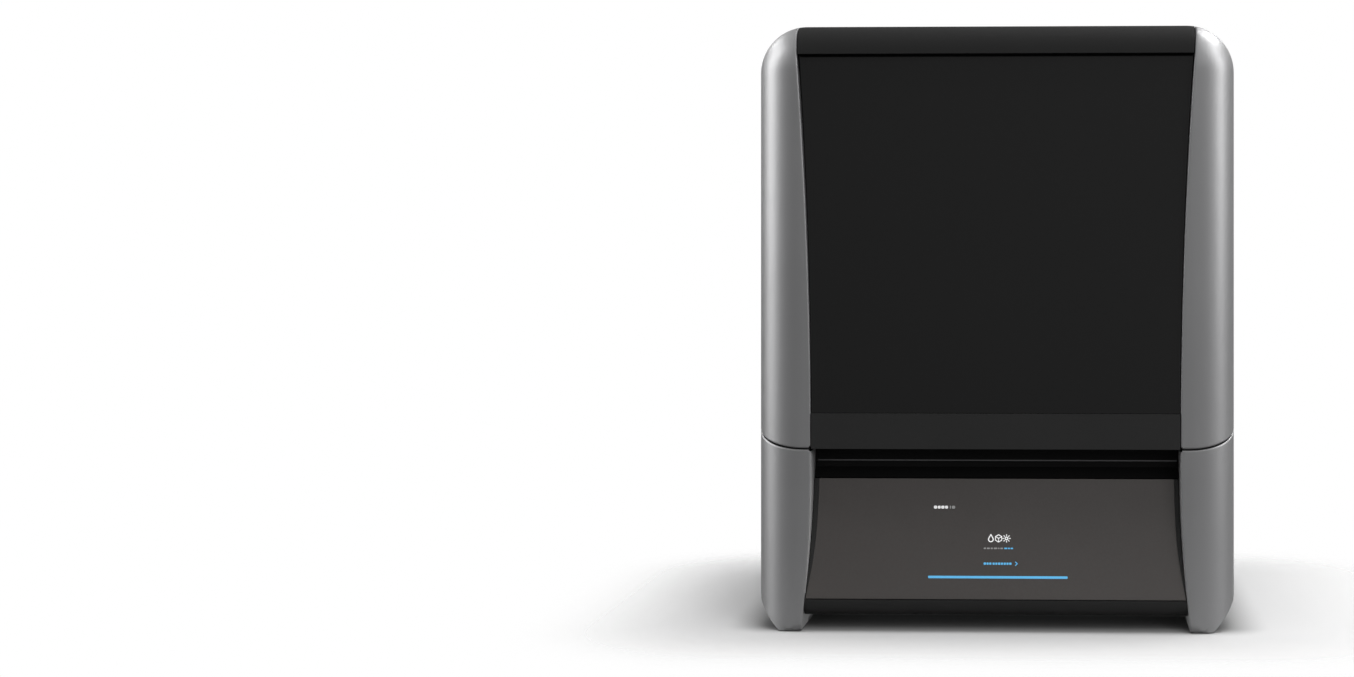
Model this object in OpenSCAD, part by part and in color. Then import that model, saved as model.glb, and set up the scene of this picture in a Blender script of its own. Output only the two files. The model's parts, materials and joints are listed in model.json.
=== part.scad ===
// Desktop resin printer with a tilting hood, a lift inside it and a touch panel in its base.
// Origin at the middle of the footprint, on the table. Front is -Y, right is +X, up is +Z.

/* [Body] */
// Width over the two cheeks
body_w = 422; // [412:2:440]
// Depth from front to back
body_d = 390; // [384:2:404]
// Height from the table to the top of the hood
body_h = 535; // [530:1:545]
// Radius of the long outer edges
edge_r = 42; // [41:0.5:43]
// Thickness of the moulded outer shells
wall = 3; // [2.5:0.5:3.5]
// Half width of the black middle at its waist
waist_x = 162; // [161:0.5:164]

/* [Seam between hood and base] */
// Height of the seam at the front
seam_front_z = 161; // [158:1:164]
// Rise of the seam per millimetre towards the back
seam_slope = 0.39; // [0.35:0.01:0.42]
// Open height of the seam
seam_gap = 1.6; // [1.4:0.1:2]

/* [Window] */
// Height of the window's lower edge
window_low_z = 192; // [185:0.5:200]
// Height of the window's upper edge
window_high_z = 507.5; // [500:0.5:510]
// Thickness of the window panel
window_t = 4; // [3:0.5:5]

/* [Touch panel] */
// Height of the panel's lower edge
panel_low_z = 29.5; // [27:0.5:32]
// Height of the panel's upper edge
panel_high_z = 132.5; // [130:0.5:136]
// How far the upper edge lies behind the lower edge
panel_lean = 26; // [20:1:28]
// Thickness of the panel's glass
panel_t = 3; // [2:0.5:3]

/* [Deck] */
// Height of the deck's upper face
deck_z = 150; // [149:0.5:151]
// Thickness of the deck
deck_t = 3; // [2:0.5:4]
// Front edge of the deck
deck_front_y = -153; // [-156:1:-150]

/* [Vat and screen] */
// Outer width of the vat
vat_w = 256; // [246:2:256]
// Outer depth of the vat
vat_d = 186; // [180:2:190]
// Wall thickness of the vat
vat_wall = 15; // [10:1:15]
// Top of the vat above the table
vat_top_z = 192; // [185:1:194]

/* [Lift] */
// Stroke of the build platform
lift_stroke = 205; // [190:1:205]
// Width of the build platform
platform_w = 200; // [180:2:204]
// Depth of the build platform
platform_d = 126; // [110:2:130]
// Radius of the ball screw
screw_r = 6; // [5:0.5:6]

/* [Hinge] */
// Radius of the hinge pins
hinge_pin_r = 4; // [3:0.5:5]

/* [Hidden] */
$fn = 64;
far = 600;               // larger than the machine, for cutting blocks
run_fit = 0.05;          // radial clearance of a shaft in its bore
panel_fit = 0.6;         // gap between a panel and the part beside it

half_w = body_w / 2;
half_d = body_d / 2;
core_x = half_w - edge_r;
core_y = half_d - edge_r;
core_z = body_h - edge_r;

hood_bow_r = 4845;       // bow of the hood's inner cheek edge
base_bow_r = 1130;       // bow of the base's inner cheek edge
base_waist_z = 140;
bow_steps = 12;
flange_d = 15;           // depth of the cheeks' return flange

hinge_y = core_y;
hinge_z = core_z;
rear_skin_end_z = hinge_z - 13;
rear_swing_r = edge_r + 1.6;   // clear radius for the hood's rear edge

window_low_y = -half_d + 4;
window_high_y = -half_d + 14.4;
panel_low_y = -half_d + 2;
glass_rim = 4.2;         // width of the dark rim beside the glass, at its upper end
panel_tilt = atan(panel_lean / (panel_high_z - panel_low_z));
panel_len = (panel_high_z - panel_low_z) / cos(panel_tilt);

foot_h = 3;
cheek_low_z = 1.2;       // underside of the cheeks, just above the table
pan_z = 13;              // underside of the chassis
pan_t = 2;
pan_x = waist_x - 1.5;
pan_front_y = -150;
bevel_r = 21;
under_deck_z = deck_z - deck_t;

light_y = -30;           // middle of the screen, vat and platform
light_low_z = 58;        // lower edge of the light box
lcd_open = [204, 130];
frame_top_z = deck_z + 3;
vat_low_z = frame_top_z + 0.5;
film_z = vat_low_z + 1.5;
film_t = 0.5;
platform_z = film_z + film_t + 1 + lift_stroke;   // 1 mm above the film at the bottom

screw_y = 120;
column_back_y = 148;
column_x = 62;
column_top_z = 440;
rail_x = 54;
rail_w = 12;
rail_face_y = 96;
rail_back_y = 104;
carriage_z = platform_z - 1.5;
carriage_h = 70;
carriage_face_y = 80;
arm_low_z = platform_z + 41.5;
arm_top_z = platform_z + 68.5;
dovetail_z = platform_z + 37.5;
dovetail_h = 11;
lever_y = -40;

tower_x = 156;
tower_front_y = 98;
tower_top_z = 443.5;
tower_open_x = 70;
back_y = half_d - 2;     // inner face of the rear panel

engine_fan_z = 22;
rear_fan_at = [-100, 70];
inlet_at = [84, 48];
rocker_at = [128, 48];
rocker_y = half_d - 8;
knob_x = vat_w / 2 + 14.4;

function waist(z) = z > seam_front_z
    ? waist_x + pow(z - seam_front_z, 2) / (2 * hood_bow_r)
    : z < base_waist_z ? waist_x + pow(base_waist_z - z, 2) / (2 * base_bow_r) : waist_x;
function seam_z(y) = seam_front_z + seam_slope * (y + half_d);
function glass_inset(z) = glass_rim * sin(90 * min(1, max(0, (z - panel_low_z) / 60)));
function window_y(z) = window_low_y
    + (window_high_y - window_low_y) * (z - window_low_z) / (window_high_z - window_low_z);

module box(low, high) translate(low) cube(high - low);
module along_x(length) rotate([90, 0, 90]) linear_extrude(length, center = true) children();
module along_y(length) rotate([90, 0, 0]) linear_extrude(length, center = true) children();
module both_sides() { children(); mirror([1, 0, 0]) children(); }

// Quarter of a disc, in the corner between +X and +Y
module quarter_disc(r) intersection() { circle(r); square(r); }

// Solid with the machine's outer form, drawn in by inset on every face
module machine_block(inset) {
    r = edge_r - inset;
    for (fx = [0, 1], fy = [0, 1]) mirror([fx, 0, 0]) mirror([0, fy, 0]) {
        cube([core_x, core_y, core_z + r]);
        translate([core_x, 0, 0]) cube([r, core_y, core_z]);
        translate([0, core_y, 0]) cube([core_x, r, core_z]);
        translate([core_x, core_y, 0]) linear_extrude(core_z) quarter_disc(r);
        translate([0, core_y, core_z]) rotate([90, 0, 90]) linear_extrude(core_x) quarter_disc(r);
        translate([core_x, core_y, core_z]) rotate([90, 0, 0]) linear_extrude(core_y) quarter_disc(r);
        translate([core_x, core_y, core_z]) rotate_extrude(angle = 90) quarter_disc(r);
    }
}

// Everything between the cheeks' inner edges, from z_low to z_high, less a gap on each side
module between_cheeks(z_low, z_high, gap) {
    steps = [for (i = [0:bow_steps]) z_low + (z_high - z_low) * i / bow_steps];
    right = [for (z = steps) [waist(z) - gap, z]];
    left = [for (i = [bow_steps:-1:0]) [-waist(steps[i]) + gap, steps[i]]];
    along_y(far) polygon(concat(right, left));
}

// Strip beside each cheek's inner edge, from gap to gap + depth outside it
module edge_strips(z_low, z_high, gap, depth) {
    difference() {
        between_cheeks(z_low, z_high, -gap - depth);
        between_cheeks(z_low - 1, z_high + 1, -gap);
    }
}

// Slab that follows the seam, from low to high above it
module seam_slab(low, high) {
    along_x(far) polygon([[-far, seam_z(-far) + low], [far, seam_z(far) + low],
        [far, seam_z(far) + high], [-far, seam_z(-far) + high]]);
}

// Plain screw with a flat round head on top and a six-sided socket, head resting on z = 0
module socket_screw(shank_r, head_r, head_h, length) {
    translate([0, 0, -length]) cylinder(length + head_h / 2, r = shank_r);
    difference() {
        cylinder(head_h, r = head_r);
        translate([0, 0, head_h / 2]) cylinder(head_h, r = shank_r, $fn = 6);
    }
}

// Row of upright slots in a sheet that faces Y
module slot_row(count, pitch, slot_w, slot_h, depth) {
    for (i = [0:count - 1])
        translate([(i - (count - 1) / 2) * pitch, 0, 0]) cube([slot_w, depth, slot_h], center = true);
}

// ---------- Base ----------

module base_pan() color("gainsboro") {
    difference() {
        box([-pan_x, pan_front_y, pan_z], [pan_x, back_y - 0.5, under_deck_z]);
        box([-pan_x + pan_t, pan_front_y - 1, pan_z + pan_t], [pan_x - pan_t, back_y, deck_z]);
        for (row = [-3:3])
            translate([0, light_y + row * 11, pan_z]) cube([70, 5, 3 * pan_t], center = true);
        for (side = [-1, 1])
            translate([side * 110, 140, pan_z]) cube([60, 5, 3 * pan_t], center = true);
        both_sides() along_x_hole(pan_x, -120, 60, 8);
        both_sides() along_x_hole(pan_x, 130, 60, 8);
    }
}

// Round hole through a wall that faces X
module along_x_hole(x, y, z, r) translate([x, y, z]) rotate([0, 90, 0]) cylinder(20, r = r, center = true);

// Soft cut along the lower outer edges of the base
module lower_edge_cut() {
    cut_w = 22;
    cut_h = 27.2;
    cut_r = 46.6;
    front_cut = 8;
    both_sides() along_y(far) difference() {
        translate([half_w - cut_w, -1]) square([cut_w + 1, cut_h + 1]);
        translate([half_w - 45.7, 36.3]) circle(cut_r, $fn = 128);
    }
    for (side = [-1, 1]) scale([1, side, 1]) along_x(far) difference() {
        translate([half_d - front_cut, -1]) square([front_cut + 1, front_cut + 1]);
        translate([half_d - front_cut, front_cut]) circle(front_cut);
    }
}

module lower_cheek() {
    difference() {
        intersection() {
            machine_block(0);
            box([0, -far, cheek_low_z], [far, far, far]);
            seam_slab(-far, -seam_gap);
        }
        between_cheeks(-1, seam_z(half_d) + 5, 0);
        difference() {
            intersection() {
                machine_block(wall);
                box([0, -far, cheek_low_z + wall], [far, far, far]);
                seam_slab(-far, -seam_gap - wall);
            }
            between_cheeks(-1, seam_z(half_d) + 5, -wall);
            lower_edge_backing();
        }
        box([0, -half_d + 50, 20], [waist_x + 15, half_d - flange_d, under_deck_z - 3]);
        lower_edge_cut();
        right_foot_pads();
    }
}

// Thickening behind the soft lower edge, so that the cut leaves a wall there
module lower_edge_backing() {
    box([half_w - 26, -half_d, 0], [half_w, half_d, 30]);
    box([0, -half_d, 0], [half_w, -half_d + 12, 12]);
    box([0, half_d - 12, 0], [half_w, half_d, 12]);
}

module lower_cheek_right() color("dimgray") lower_cheek();
module lower_cheek_left() color("dimgray") mirror([1, 0, 0]) lower_cheek();

module panel_place() translate([0, panel_low_y, panel_low_z]) rotate([-panel_tilt, 0, 0]) children();

module front_fascia() color([0.12, 0.12, 0.12]) {
    bevel_y = -half_d + bevel_r;
    bevel_z = pan_z + bevel_r;
    intersection() {
        between_cheeks(5, panel_high_z + 5, panel_fit);
        union() {
            along_x(far) intersection() {
                translate([bevel_y, bevel_z]) difference() {
                    circle(bevel_r);
                    circle(bevel_r - wall);
                }
                translate([bevel_y - bevel_r, pan_z]) square([bevel_r, panel_low_z - 0.8 - pan_z]);
            }
            box([-far, bevel_y, pan_z], [far, pan_front_y, pan_z + pan_t]);
            panel_place() difference() {
                box([-far, panel_t, -1.5], [far, panel_t + wall, panel_len]);
                box([-84, 0, 6], [84, 20, panel_len - 5]);
            }
            difference() {
                panel_place() box([-far, 0.4, 0], [far, panel_t, panel_len]);
                between_glass_edges(0.2);
            }
        }
    }
}

// Everything between the glass's side edges, which draw in from the cheeks as they rise
module between_glass_edges(grow) {
    steps = [for (i = [0:bow_steps]) panel_low_z - 2 + (panel_high_z - panel_low_z + 6) * i / bow_steps];
    edge = [for (z = steps) [waist(z) - panel_fit - glass_inset(z) + grow, z]];
    along_y(far) polygon(concat(edge, [for (i = [bow_steps:-1:0]) [-edge[i].x, edge[i].y]]));
}

module touch_glass() color([0.27, 0.26, 0.26]) intersection() {
    between_glass_edges(0);
    panel_place() box([-far, 0, 0], [far, panel_t, panel_len]);
}

module display_module() color("silver") panel_place() {
    box([-83, panel_t, 7], [83, panel_t + 5, panel_len - 6]);
    box([-70, panel_t + 5, 16], [70, panel_t + 6, panel_len - 14]);
}

module display_board() color("darkgreen") panel_place() {
    board_y = panel_t + 11;
    box([-72, board_y, 18], [72, board_y + 1.6, panel_len - 20]);
    for (x = [-66, 66], z = [24, panel_len - 26])
        translate([x, panel_t + 6, z]) rotate([-90, 0, 0]) cylinder(5, r = 3);
    box([-20, board_y + 1.6, 40], [12, board_y + 4, 66]);
    box([30, board_y + 1.6, 34], [60, board_y + 8, 42]);
    box([-58, board_y + 1.6, 50], [-36, board_y + 5, 62]);
}

module recess_liner() color([0.08, 0.08, 0.08]) intersection() {
    between_cheeks(100, deck_z + 5, panel_fit);
    along_x(far) polygon([
        [panel_low_y + panel_lean + panel_t, panel_high_z + 0.6],
        [deck_front_y - 1.5, under_deck_z - 5], [deck_front_y - 1.5, under_deck_z],
        [deck_front_y + 1, under_deck_z], [deck_front_y + 1, under_deck_z - 7],
        [panel_low_y + panel_lean + panel_t + 4, panel_high_z - 1.4]]);
}

module deck_plate() color("lightgray") difference() {
    box([-pan_x, deck_front_y, under_deck_z], [pan_x, back_y - 0.5, deck_z]);
    translate([0, light_y, deck_z]) cube([lcd_open.x + 12, lcd_open.y + 12, 3 * deck_t], center = true);
    translate([0, screw_y, under_deck_z - 1]) cylinder(deck_t + 2, r = 12);
    for (side = [-1, 1]) translate([side * 110, 150, deck_z]) cube([50, 40, 3 * deck_t], center = true);
}

module seal_frame() color([0.1, 0.1, 0.1]) {
    intersection() {
        box([-waist_x + panel_fit, deck_front_y + 1.5, deck_z], [waist_x - panel_fit, deck_front_y + 4.5, far]);
        seam_slab(-far, -seam_gap);
    }
    box([-waist_x + panel_fit, deck_front_y - 1.2, deck_z - 1.8], [waist_x - panel_fit, deck_front_y, deck_z]);
    box([-waist_x + panel_fit, deck_front_y - 1.2, deck_z], [waist_x - panel_fit, deck_front_y + 1.5, deck_z + 8]);
    intersection() {
        for (x = [-150:30:150]) box([x - 1, deck_front_y + 4.5, deck_z], [x + 1, deck_front_y + 10, deck_z + 12]);
        seam_slab(-far, -seam_gap);
    }
}

module hood_seal() color([0.05, 0.05, 0.05]) {
    seal_x = waist_x + 12;
    seal_front = deck_front_y + 1.5;
    intersection() {
        seam_slab(-seam_gap, -0.4);
        difference() {
            box([-seal_x, seal_front, 0], [seal_x, half_d - 10, far]);
            box([-seal_x + 4, seal_front + 3, -1], [seal_x - 4, far, far]);
        }
    }
}

module lcd_frame() color([0.15, 0.15, 0.15]) translate([0, light_y, 0]) difference() {
    translate([0, 0, deck_z + 1.5]) cube([lcd_open.x + 36, lcd_open.y + 36, 3], center = true);
    translate([0, 0, deck_z]) cube([lcd_open.x, lcd_open.y, 20], center = true);
    translate([0, 0, deck_z]) cube([lcd_open.x + 12, lcd_open.y + 12, 3], center = true);
}

module lcd_panel() color("darkslategray") translate([0, light_y, deck_z])
    cube([lcd_open.x + 12, lcd_open.y + 12, 3], center = true);

module light_box() color("whitesmoke") translate([0, light_y, 0]) difference() {
    translate([0, 0, (light_low_z + under_deck_z) / 2])
        cube([lcd_open.x + 10, lcd_open.y + 10, under_deck_z - light_low_z], center = true);
    translate([0, 0, 100]) cube([lcd_open.x, lcd_open.y, 100], center = true);
}

module lens_array() color("lightcyan") translate([0, light_y, 76]) {
    cube([lcd_open.x, lcd_open.y, 3], center = true);
    for (i = [-2.5:2.5], j = [-1.5:1.5]) translate([i * 33, j * 32, 1.5]) cylinder(4, r1 = 13, r2 = 8);
}

module led_board() color("seagreen") translate([0, light_y, 0]) {
    translate([0, 0, 57]) cube([lcd_open.x + 10, lcd_open.y + 10, 2], center = true);
    for (i = [-2.5:2.5], j = [-1.5:1.5]) translate([i * 33, j * 32, 59]) cube([6, 6, 2], center = true);
}

module heat_sink() color("silver") translate([0, light_y, 0]) {
    translate([0, 0, 53.5]) cube([160, 120, 5], center = true);
    for (i = [-13:13]) translate([i * 5.8, 0, 45]) cube([1.6, 116, 14], center = true);
}

// Square fan housing on z = 0, with four screw holes and three spokes
module fan_frame(size, depth) {
    difference() {
        translate([0, 0, depth / 2]) cube([size, size, depth], center = true);
        translate([0, 0, -1]) cylinder(depth + 2, r = size / 2 - 1.5);
        for (a = [45:90:315]) rotate(a) translate([size * 0.62, 0, -1]) cylinder(depth + 2, r = 1.6);
    }
    cylinder(1.5, r = size * 0.2);
    for (a = [30:120:270]) rotate(a) translate([0, -1.5, 0]) cube([size / 2, 3, 1.5]);
}

// Hub with seven set blades, turning about Z
module fan_rotor(size, depth) {
    blade_r = size / 2 - 3;
    intersection() {
        cylinder(depth, r = blade_r);
        union() {
            cylinder(depth, r = size * 0.2);
            for (a = [0:360 / 7:359]) rotate(a) translate([0, 0, depth / 2]) rotate([35, 0, 0])
                translate([size * 0.19, -0.8, -depth * 0.6]) cube([size / 2, 1.6, depth * 1.2]);
        }
    }
}

module engine_fan_frame() color([0.1, 0.1, 0.1]) translate([0, light_y, engine_fan_z]) {
    fan_frame(80, 15);
    for (x = [-38, 38], y = [-38, 38]) translate([x, y, pan_z + pan_t - engine_fan_z])
        cylinder(engine_fan_z - pan_z - pan_t, r = 3);
}
module engine_fan_rotor() color([0.2, 0.2, 0.2]) translate([0, light_y, engine_fan_z + 2.5]) fan_rotor(80, 11.5);

module rear_fan_place() translate([rear_fan_at.x, back_y, rear_fan_at.y]) rotate([90, 0, 0]) children();
module rear_fan_frame() color([0.1, 0.1, 0.1]) rear_fan_place() fan_frame(60, 20);
module rear_fan_rotor() color([0.2, 0.2, 0.2]) rear_fan_place() translate([0, 0, 2.5]) fan_rotor(60, 16);

module mainboard() color("darkgreen") {
    board_x = 138;
    box([board_x, -70, 26], [board_x + 1.6, 110, 136]);
    for (y = [-62, 20, 102], z = [34, 128]) translate([board_x + 1.6, y, z]) rotate([0, 90, 0])
        cylinder(pan_x - pan_t - board_x - 1.6, r = 3);
    box([board_x - 12, -20, 70], [board_x, 20, 110]);
    for (i = [0:4]) box([board_x - 10, 40 + i * 13, 34], [board_x, 50 + i * 13, 44]);
    for (i = [0:3]) box([board_x - 7, -60 + i * 9, 40], [board_x, -54 + i * 9, 58]);
    box([board_x - 3, 40, 80], [board_x, 90, 100]);
}

module power_supply() color("silver") difference() {
    box([-pan_x + pan_t, -95, 22], [-118, 120, 136]);
    for (i = [0:11]) translate([-118, -60 + i * 12, 80]) cube([6, 4, 70], center = true);
}

// Rows of vents and the cut-outs for what the panel carries
module rear_panel() color([0.2, 0.2, 0.2]) {
    difference() {
        intersection() {
            between_cheeks(pan_z, rear_skin_end_z - 1, 1);
            box([-far, back_y, pan_z], [far, half_d, rear_skin_end_z - 1]);
        }
        translate([0, hinge_y, hinge_z]) rotate([0, 90, 0]) cylinder(far, r = rear_swing_r, center = true);
        translate([inlet_at.x, half_d, inlet_at.y]) cube([48.4, 20, 30.4], center = true);
        translate([rocker_at.x, half_d, rocker_at.y]) cube([20.4, 20, 30.4], center = true);
        translate([10, half_d, 48]) cube([60.4, 20, 20.4], center = true);
        for (row = [-2:2]) translate([rear_fan_at.x, half_d, rear_fan_at.y + row * 9])
            cube([sqrt(27 * 27 - row * row * 81) * 2, 10, 4], center = true);
        for (row = [0:3]) translate([0, half_d, 150 + row * 22]) slot_row(19, 9, 4, 14, 10);
        for (row = [0:3]) translate([-100, half_d, 300 + row * 20]) slot_row(7, 9, 4, 13, 10);
    }
}

module power_inlet() color([0.1, 0.1, 0.1]) translate([inlet_at.x, 0, inlet_at.y]) {
    difference() {
        box([-24, back_y - 24, -15], [24, half_d - 0.5, 15]);
        box([-13, back_y - 16, -10], [13, half_d + 1, 10]);
    }
    for (x = [-7, 0, 7]) box([x - 1, back_y - 16, x == 0 ? 2 : -5], [x + 1, back_y - 6, x == 0 ? 8 : 1]);
}

// Recessed housing of the power switch, with the pin that the rocker turns on
module rocker_housing() translate([rocker_at.x, 0, rocker_at.y]) {
    difference() {
        box([-10, back_y - 16, -15], [10, half_d - 0.2, 15]);
        box([-7.5, back_y - 12, -12], [7.5, half_d + 1, 12]);
    }
    translate([0, rocker_y, 0]) rotate([0, 90, 0]) cylinder(17, r = 1, center = true);
}

module power_rocker() color([0.3, 0.05, 0.05]) translate([rocker_at.x, rocker_y, rocker_at.y])
    rotate([12, 0, 0]) along_x(14) difference() {
        polygon([[-2.5, -8], [4.5, -10.5], [2.3, 0], [4.5, 10.5], [-2.5, 8]]);
        circle(1 + run_fit);
    }

module io_ports() color([0.5, 0.5, 0.5]) {
    translate([10, 0, 48]) difference() {
        box([-30, back_y - 22, -10], [30, half_d - 0.3, 10]);
        box([-26, back_y - 10, -7], [-10, half_d + 1, 7]);
        for (z = [-6, 2]) box([-4, back_y - 10, z], [10, half_d + 1, z + 5]);
        box([15, back_y - 10, -4], [27, half_d + 1, 3]);
    }
    box([-24, back_y - 60, 36], [44, back_y - 2, 38]);
    rocker_housing();
}

module foot_pads() color([0.05, 0.05, 0.05]) both_sides() right_foot_pads();
module right_foot_pads() for (side = [-1, 1])
    translate([half_w - 30, side * (half_d - 55), 0]) cylinder(foot_h, r = 9);

// ---------- Lift tower, fixed ----------

module z_column() color("silver") difference() {
    union() {
        box([-column_x, column_back_y - 8, deck_z], [column_x, column_back_y, column_top_z]);
        both_sides() box([column_x - 16, rail_back_y, deck_z], [column_x, column_back_y, column_top_z]);
        box([-column_x - 14, rail_back_y, deck_z], [-column_x + 16, column_back_y + 14, deck_z + 8]);
        box([column_x - 16, rail_back_y, deck_z], [column_x + 14, column_back_y + 14, deck_z + 8]);
    }
    for (z = [200:60:400]) translate([0, column_back_y, z]) rotate([90, 0, 0]) cylinder(40, r = 14, center = true);
}

module linear_rails() color("whitesmoke") both_sides() difference() {
    box([rail_x - rail_w / 2, rail_face_y, deck_z + 2], [rail_x + rail_w / 2, rail_back_y, column_top_z - 2]);
    for (z = [170:40:420]) translate([rail_x, rail_face_y, z]) rotate([90, 0, 0]) cylinder(6, r = 3, center = true);
    for (side = [-1, 1]) translate([rail_x + side * rail_w / 2, rail_face_y + 4, 0])
        cylinder(2 * far, r = 1.2, center = true);
}

module screw_bearings() color("dimgray") for (z = [deck_z + 10, 424]) difference() {
    box([-22, rail_back_y, z], [22, column_back_y - 8, z + 13]);
    translate([0, screw_y, z - 1]) cylinder(15, r = screw_r + run_fit);
    for (x = [-16, 16]) translate([x, screw_y, z - 1]) cylinder(15, r = 2);
}

module z_motor() color([0.15, 0.15, 0.15]) {
    motor_top = 122;
    difference() {
        box([-28, screw_y - 28, motor_top - 52], [28, screw_y + 28, motor_top]);
        translate([0, screw_y, motor_top - 12]) cylinder(20, r = 5);
        for (x = [-28, 28], y = [-28, 28]) translate([x, screw_y + y, motor_top - 60])
            rotate(45) cube([7, 7, 140], center = true);
    }
    difference() {
        box([-32, screw_y - 32, motor_top], [32, screw_y + 32, motor_top + 3]);
        translate([0, screw_y, motor_top - 1]) cylinder(5, r = 14);
    }
    for (x = [-29, 26]) box([x, screw_y - 30, motor_top + 3], [x + 3, screw_y + 30, under_deck_z]);
}

module limit_sensor() color("black") difference() {
    box([-44, 124, 404], [-30, column_back_y - 8, 420]);
    box([-40, 120, 401], [-34, 132, 430]);
}

module tower_cover() color([0.14, 0.14, 0.14]) difference() {
    box([-tower_x, tower_front_y, deck_z], [tower_x, back_y, tower_top_z]);
    box([-tower_x + 2.5, tower_front_y + 2.5, deck_z - 1], [tower_x - 2.5, far, tower_top_z - 2.5]);
    box([-tower_open_x, 0, deck_z - 1], [tower_open_x, tower_front_y + 5, tower_top_z - 2.5]);
    for (row = [0:3]) translate([-113, tower_front_y, 300 + row * 20]) slot_row(7, 9, 4, 13, 10);
    for (x = [-50:20:50]) translate([x, tower_front_y, tower_top_z]) cube([3, 30, 12], center = true);
}

module carbon_filter() color([0.25, 0.25, 0.25]) {
    difference() {
        box([-150, tower_front_y + 2.5, 284], [-76, tower_front_y + 30, 378]);
        box([-146, tower_front_y, 288], [-80, tower_front_y + 40, 374]);
    }
    for (i = [0:10]) translate([-143 + i * 6, tower_front_y + 4, 287]) cube([1.6, 24, 88]);
    for (i = [0:6]) translate([-147, tower_front_y + 4, 294 + i * 12]) cube([68, 24, 1.6]);
}

module hinge_brackets() color("silver") both_sides() translate([141, 0, 0]) along_x(6) difference() {
    union() {
        translate([hinge_y, hinge_z]) circle(13);
        polygon([[hinge_y - 12, hinge_z + 4], [hinge_y + 10, hinge_z - 8],
            [hinge_y - 8, tower_top_z], [hinge_y - 42, tower_top_z]]);
    }
    translate([hinge_y, hinge_z]) circle(hinge_pin_r + run_fit);
}

module case_screws() color("silver") {
    for (x = [-148, 148], y = [-138, 86]) translate([x, y, deck_z]) socket_screw(2, 4, 3, 5);
    both_sides() translate([knob_x, light_y, deck_z - deck_t]) cylinder(deck_t + 19.5, r = 3);
    for (x = [-68, 68], y = [112, 154]) translate([x, y, deck_z + 8]) socket_screw(2, 4, 3, 10);
}

// ---------- Hood, moving ----------

module hood_cheek() {
    difference() {
        intersection() {
            machine_block(0);
            box([0, -far, seam_front_z - 5], [far, far, far]);
            seam_slab(0, far);
        }
        between_cheeks(seam_front_z - 5, body_h + 5, 0);
        difference() {
            machine_block(wall);
            intersection() {
                edge_strips(seam_front_z - 10, window_high_z - 6, -5, wall + 5);
                union() {
                    box([0, -far, 0], [far, -half_d + flange_d, far]);
                    box([0, half_d - flange_d, 0], [far, far, far]);
                }
            }
        }
    }
}
module hood_cheek_right() color("dimgray") hood_cheek();
module hood_cheek_left() color("dimgray") mirror([1, 0, 0]) hood_cheek();

// Outer skin between the cheeks, limited to a band of height
module middle_skin(z_low, z_high) intersection() {
    between_cheeks(z_low, z_high, panel_fit);
    difference() {
        machine_block(0);
        machine_block(wall);
    }
}

module hood_top_cover() color([0.16, 0.16, 0.16]) {
    difference() {
        middle_skin(rear_skin_end_z, body_h + 5);
        box([-far, -far, 0], [far, -half_d + 40, window_high_z]);
    }
    intersection() {
        between_cheeks(window_high_z, window_high_z + wall, panel_fit);
        machine_block(1);
        box([-far, -far, window_high_z], [far, window_high_y + 2.5, window_high_z + wall]);
    }
}

module hood_front_band() color([0.14, 0.14, 0.14]) {
    intersection() {
        middle_skin(seam_front_z, window_low_z);
        box([-far, -far, 0], [far, -half_d + 20, far]);
        seam_slab(0, far);
    }
    intersection() {
        between_cheeks(window_low_z - wall, window_low_z, panel_fit);
        box([-far, -half_d + 1, window_low_z - wall], [far, window_low_y + window_t - 0.4, window_low_z]);
    }
}

// Leaning slab that lies parallel to the window, from front to back behind its face
module window_slab(front, back, z_low, z_high) along_x(far) polygon([
    [window_y(z_low) + front, z_low], [window_y(z_low) + back, z_low],
    [window_y(z_high) + back, z_high], [window_y(z_high) + front, z_high]]);

module hood_window() color([0.05, 0.05, 0.05]) intersection() {
    between_cheeks(window_low_z, window_high_z, panel_fit);
    window_slab(0, window_t, window_low_z + 0.3, window_high_z - 0.3);
}

module window_frame() color([0.1, 0.1, 0.1]) {
    low = window_low_z - 20;
    high = window_high_z + 6;
    difference() {
        intersection() {
            between_cheeks(low, high, panel_fit);
            window_slab(window_t, window_t + 4, low, high);
        }
        box([-138, -far, window_low_z + 14], [138, far, window_high_z - 14]);
    }
    for (x = [-120, 0, 120]) box([x - 8, -half_d + wall, low], [x + 8, window_low_y + window_t + 2, low + 12]);
    intersection() {
        for (x = [-120, 0, 120])
            box([x - 8, window_high_y + window_t + 1, high - 6], [x + 8, window_high_y + window_t + 14, body_h]);
        machine_block(wall);
    }
}

module hood_liner() color([0.12, 0.12, 0.12]) {
    liner_t = 2.5;
    intersection() {
        edge_strips(seam_front_z - 5, body_h - 12, 0, liner_t);
        box([-far, -half_d + flange_d, 0], [far, half_d - flange_d, far]);
        seam_slab(0, far);
        machine_block(wall);
    }
    intersection() {
        machine_block(wall);
        seam_slab(0, liner_t);
        difference() {
            box([-far, -far, 0], [far, half_d - flange_d, far]);
            box([-waist_x, deck_front_y + 3, -1], [waist_x, far, far]);
            intersection() {
                edge_strips(seam_front_z - 10, window_high_z - 6, -0.3, wall + 0.6);
                box([-far, -far, 0], [far, -half_d + flange_d, far]);
            }
        }
    }
}

module hinge_arms() color("silver") both_sides() translate([149, 0, 0]) along_x(6) difference() {
    union() {
        translate([hinge_y, hinge_z]) circle(13);
        polygon([[40, body_h - wall], [hinge_y - 34, body_h - wall], [hinge_y + 2, hinge_z + 13],
            [hinge_y - 2, hinge_z - 13], [60, hinge_z + 8], [40, hinge_z + 20]]);
    }
    translate([hinge_y, hinge_z]) circle(hinge_pin_r);
}

module hinge_pins() color("whitesmoke") both_sides() translate([0, hinge_y, hinge_z]) rotate([0, 90, 0]) {
    translate([0, 0, 133]) cylinder(19, r = hinge_pin_r);
    translate([0, 0, 133]) cylinder(3, r = hinge_pin_r + 2.5);
}

// ---------- Lift, moving ----------

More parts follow.
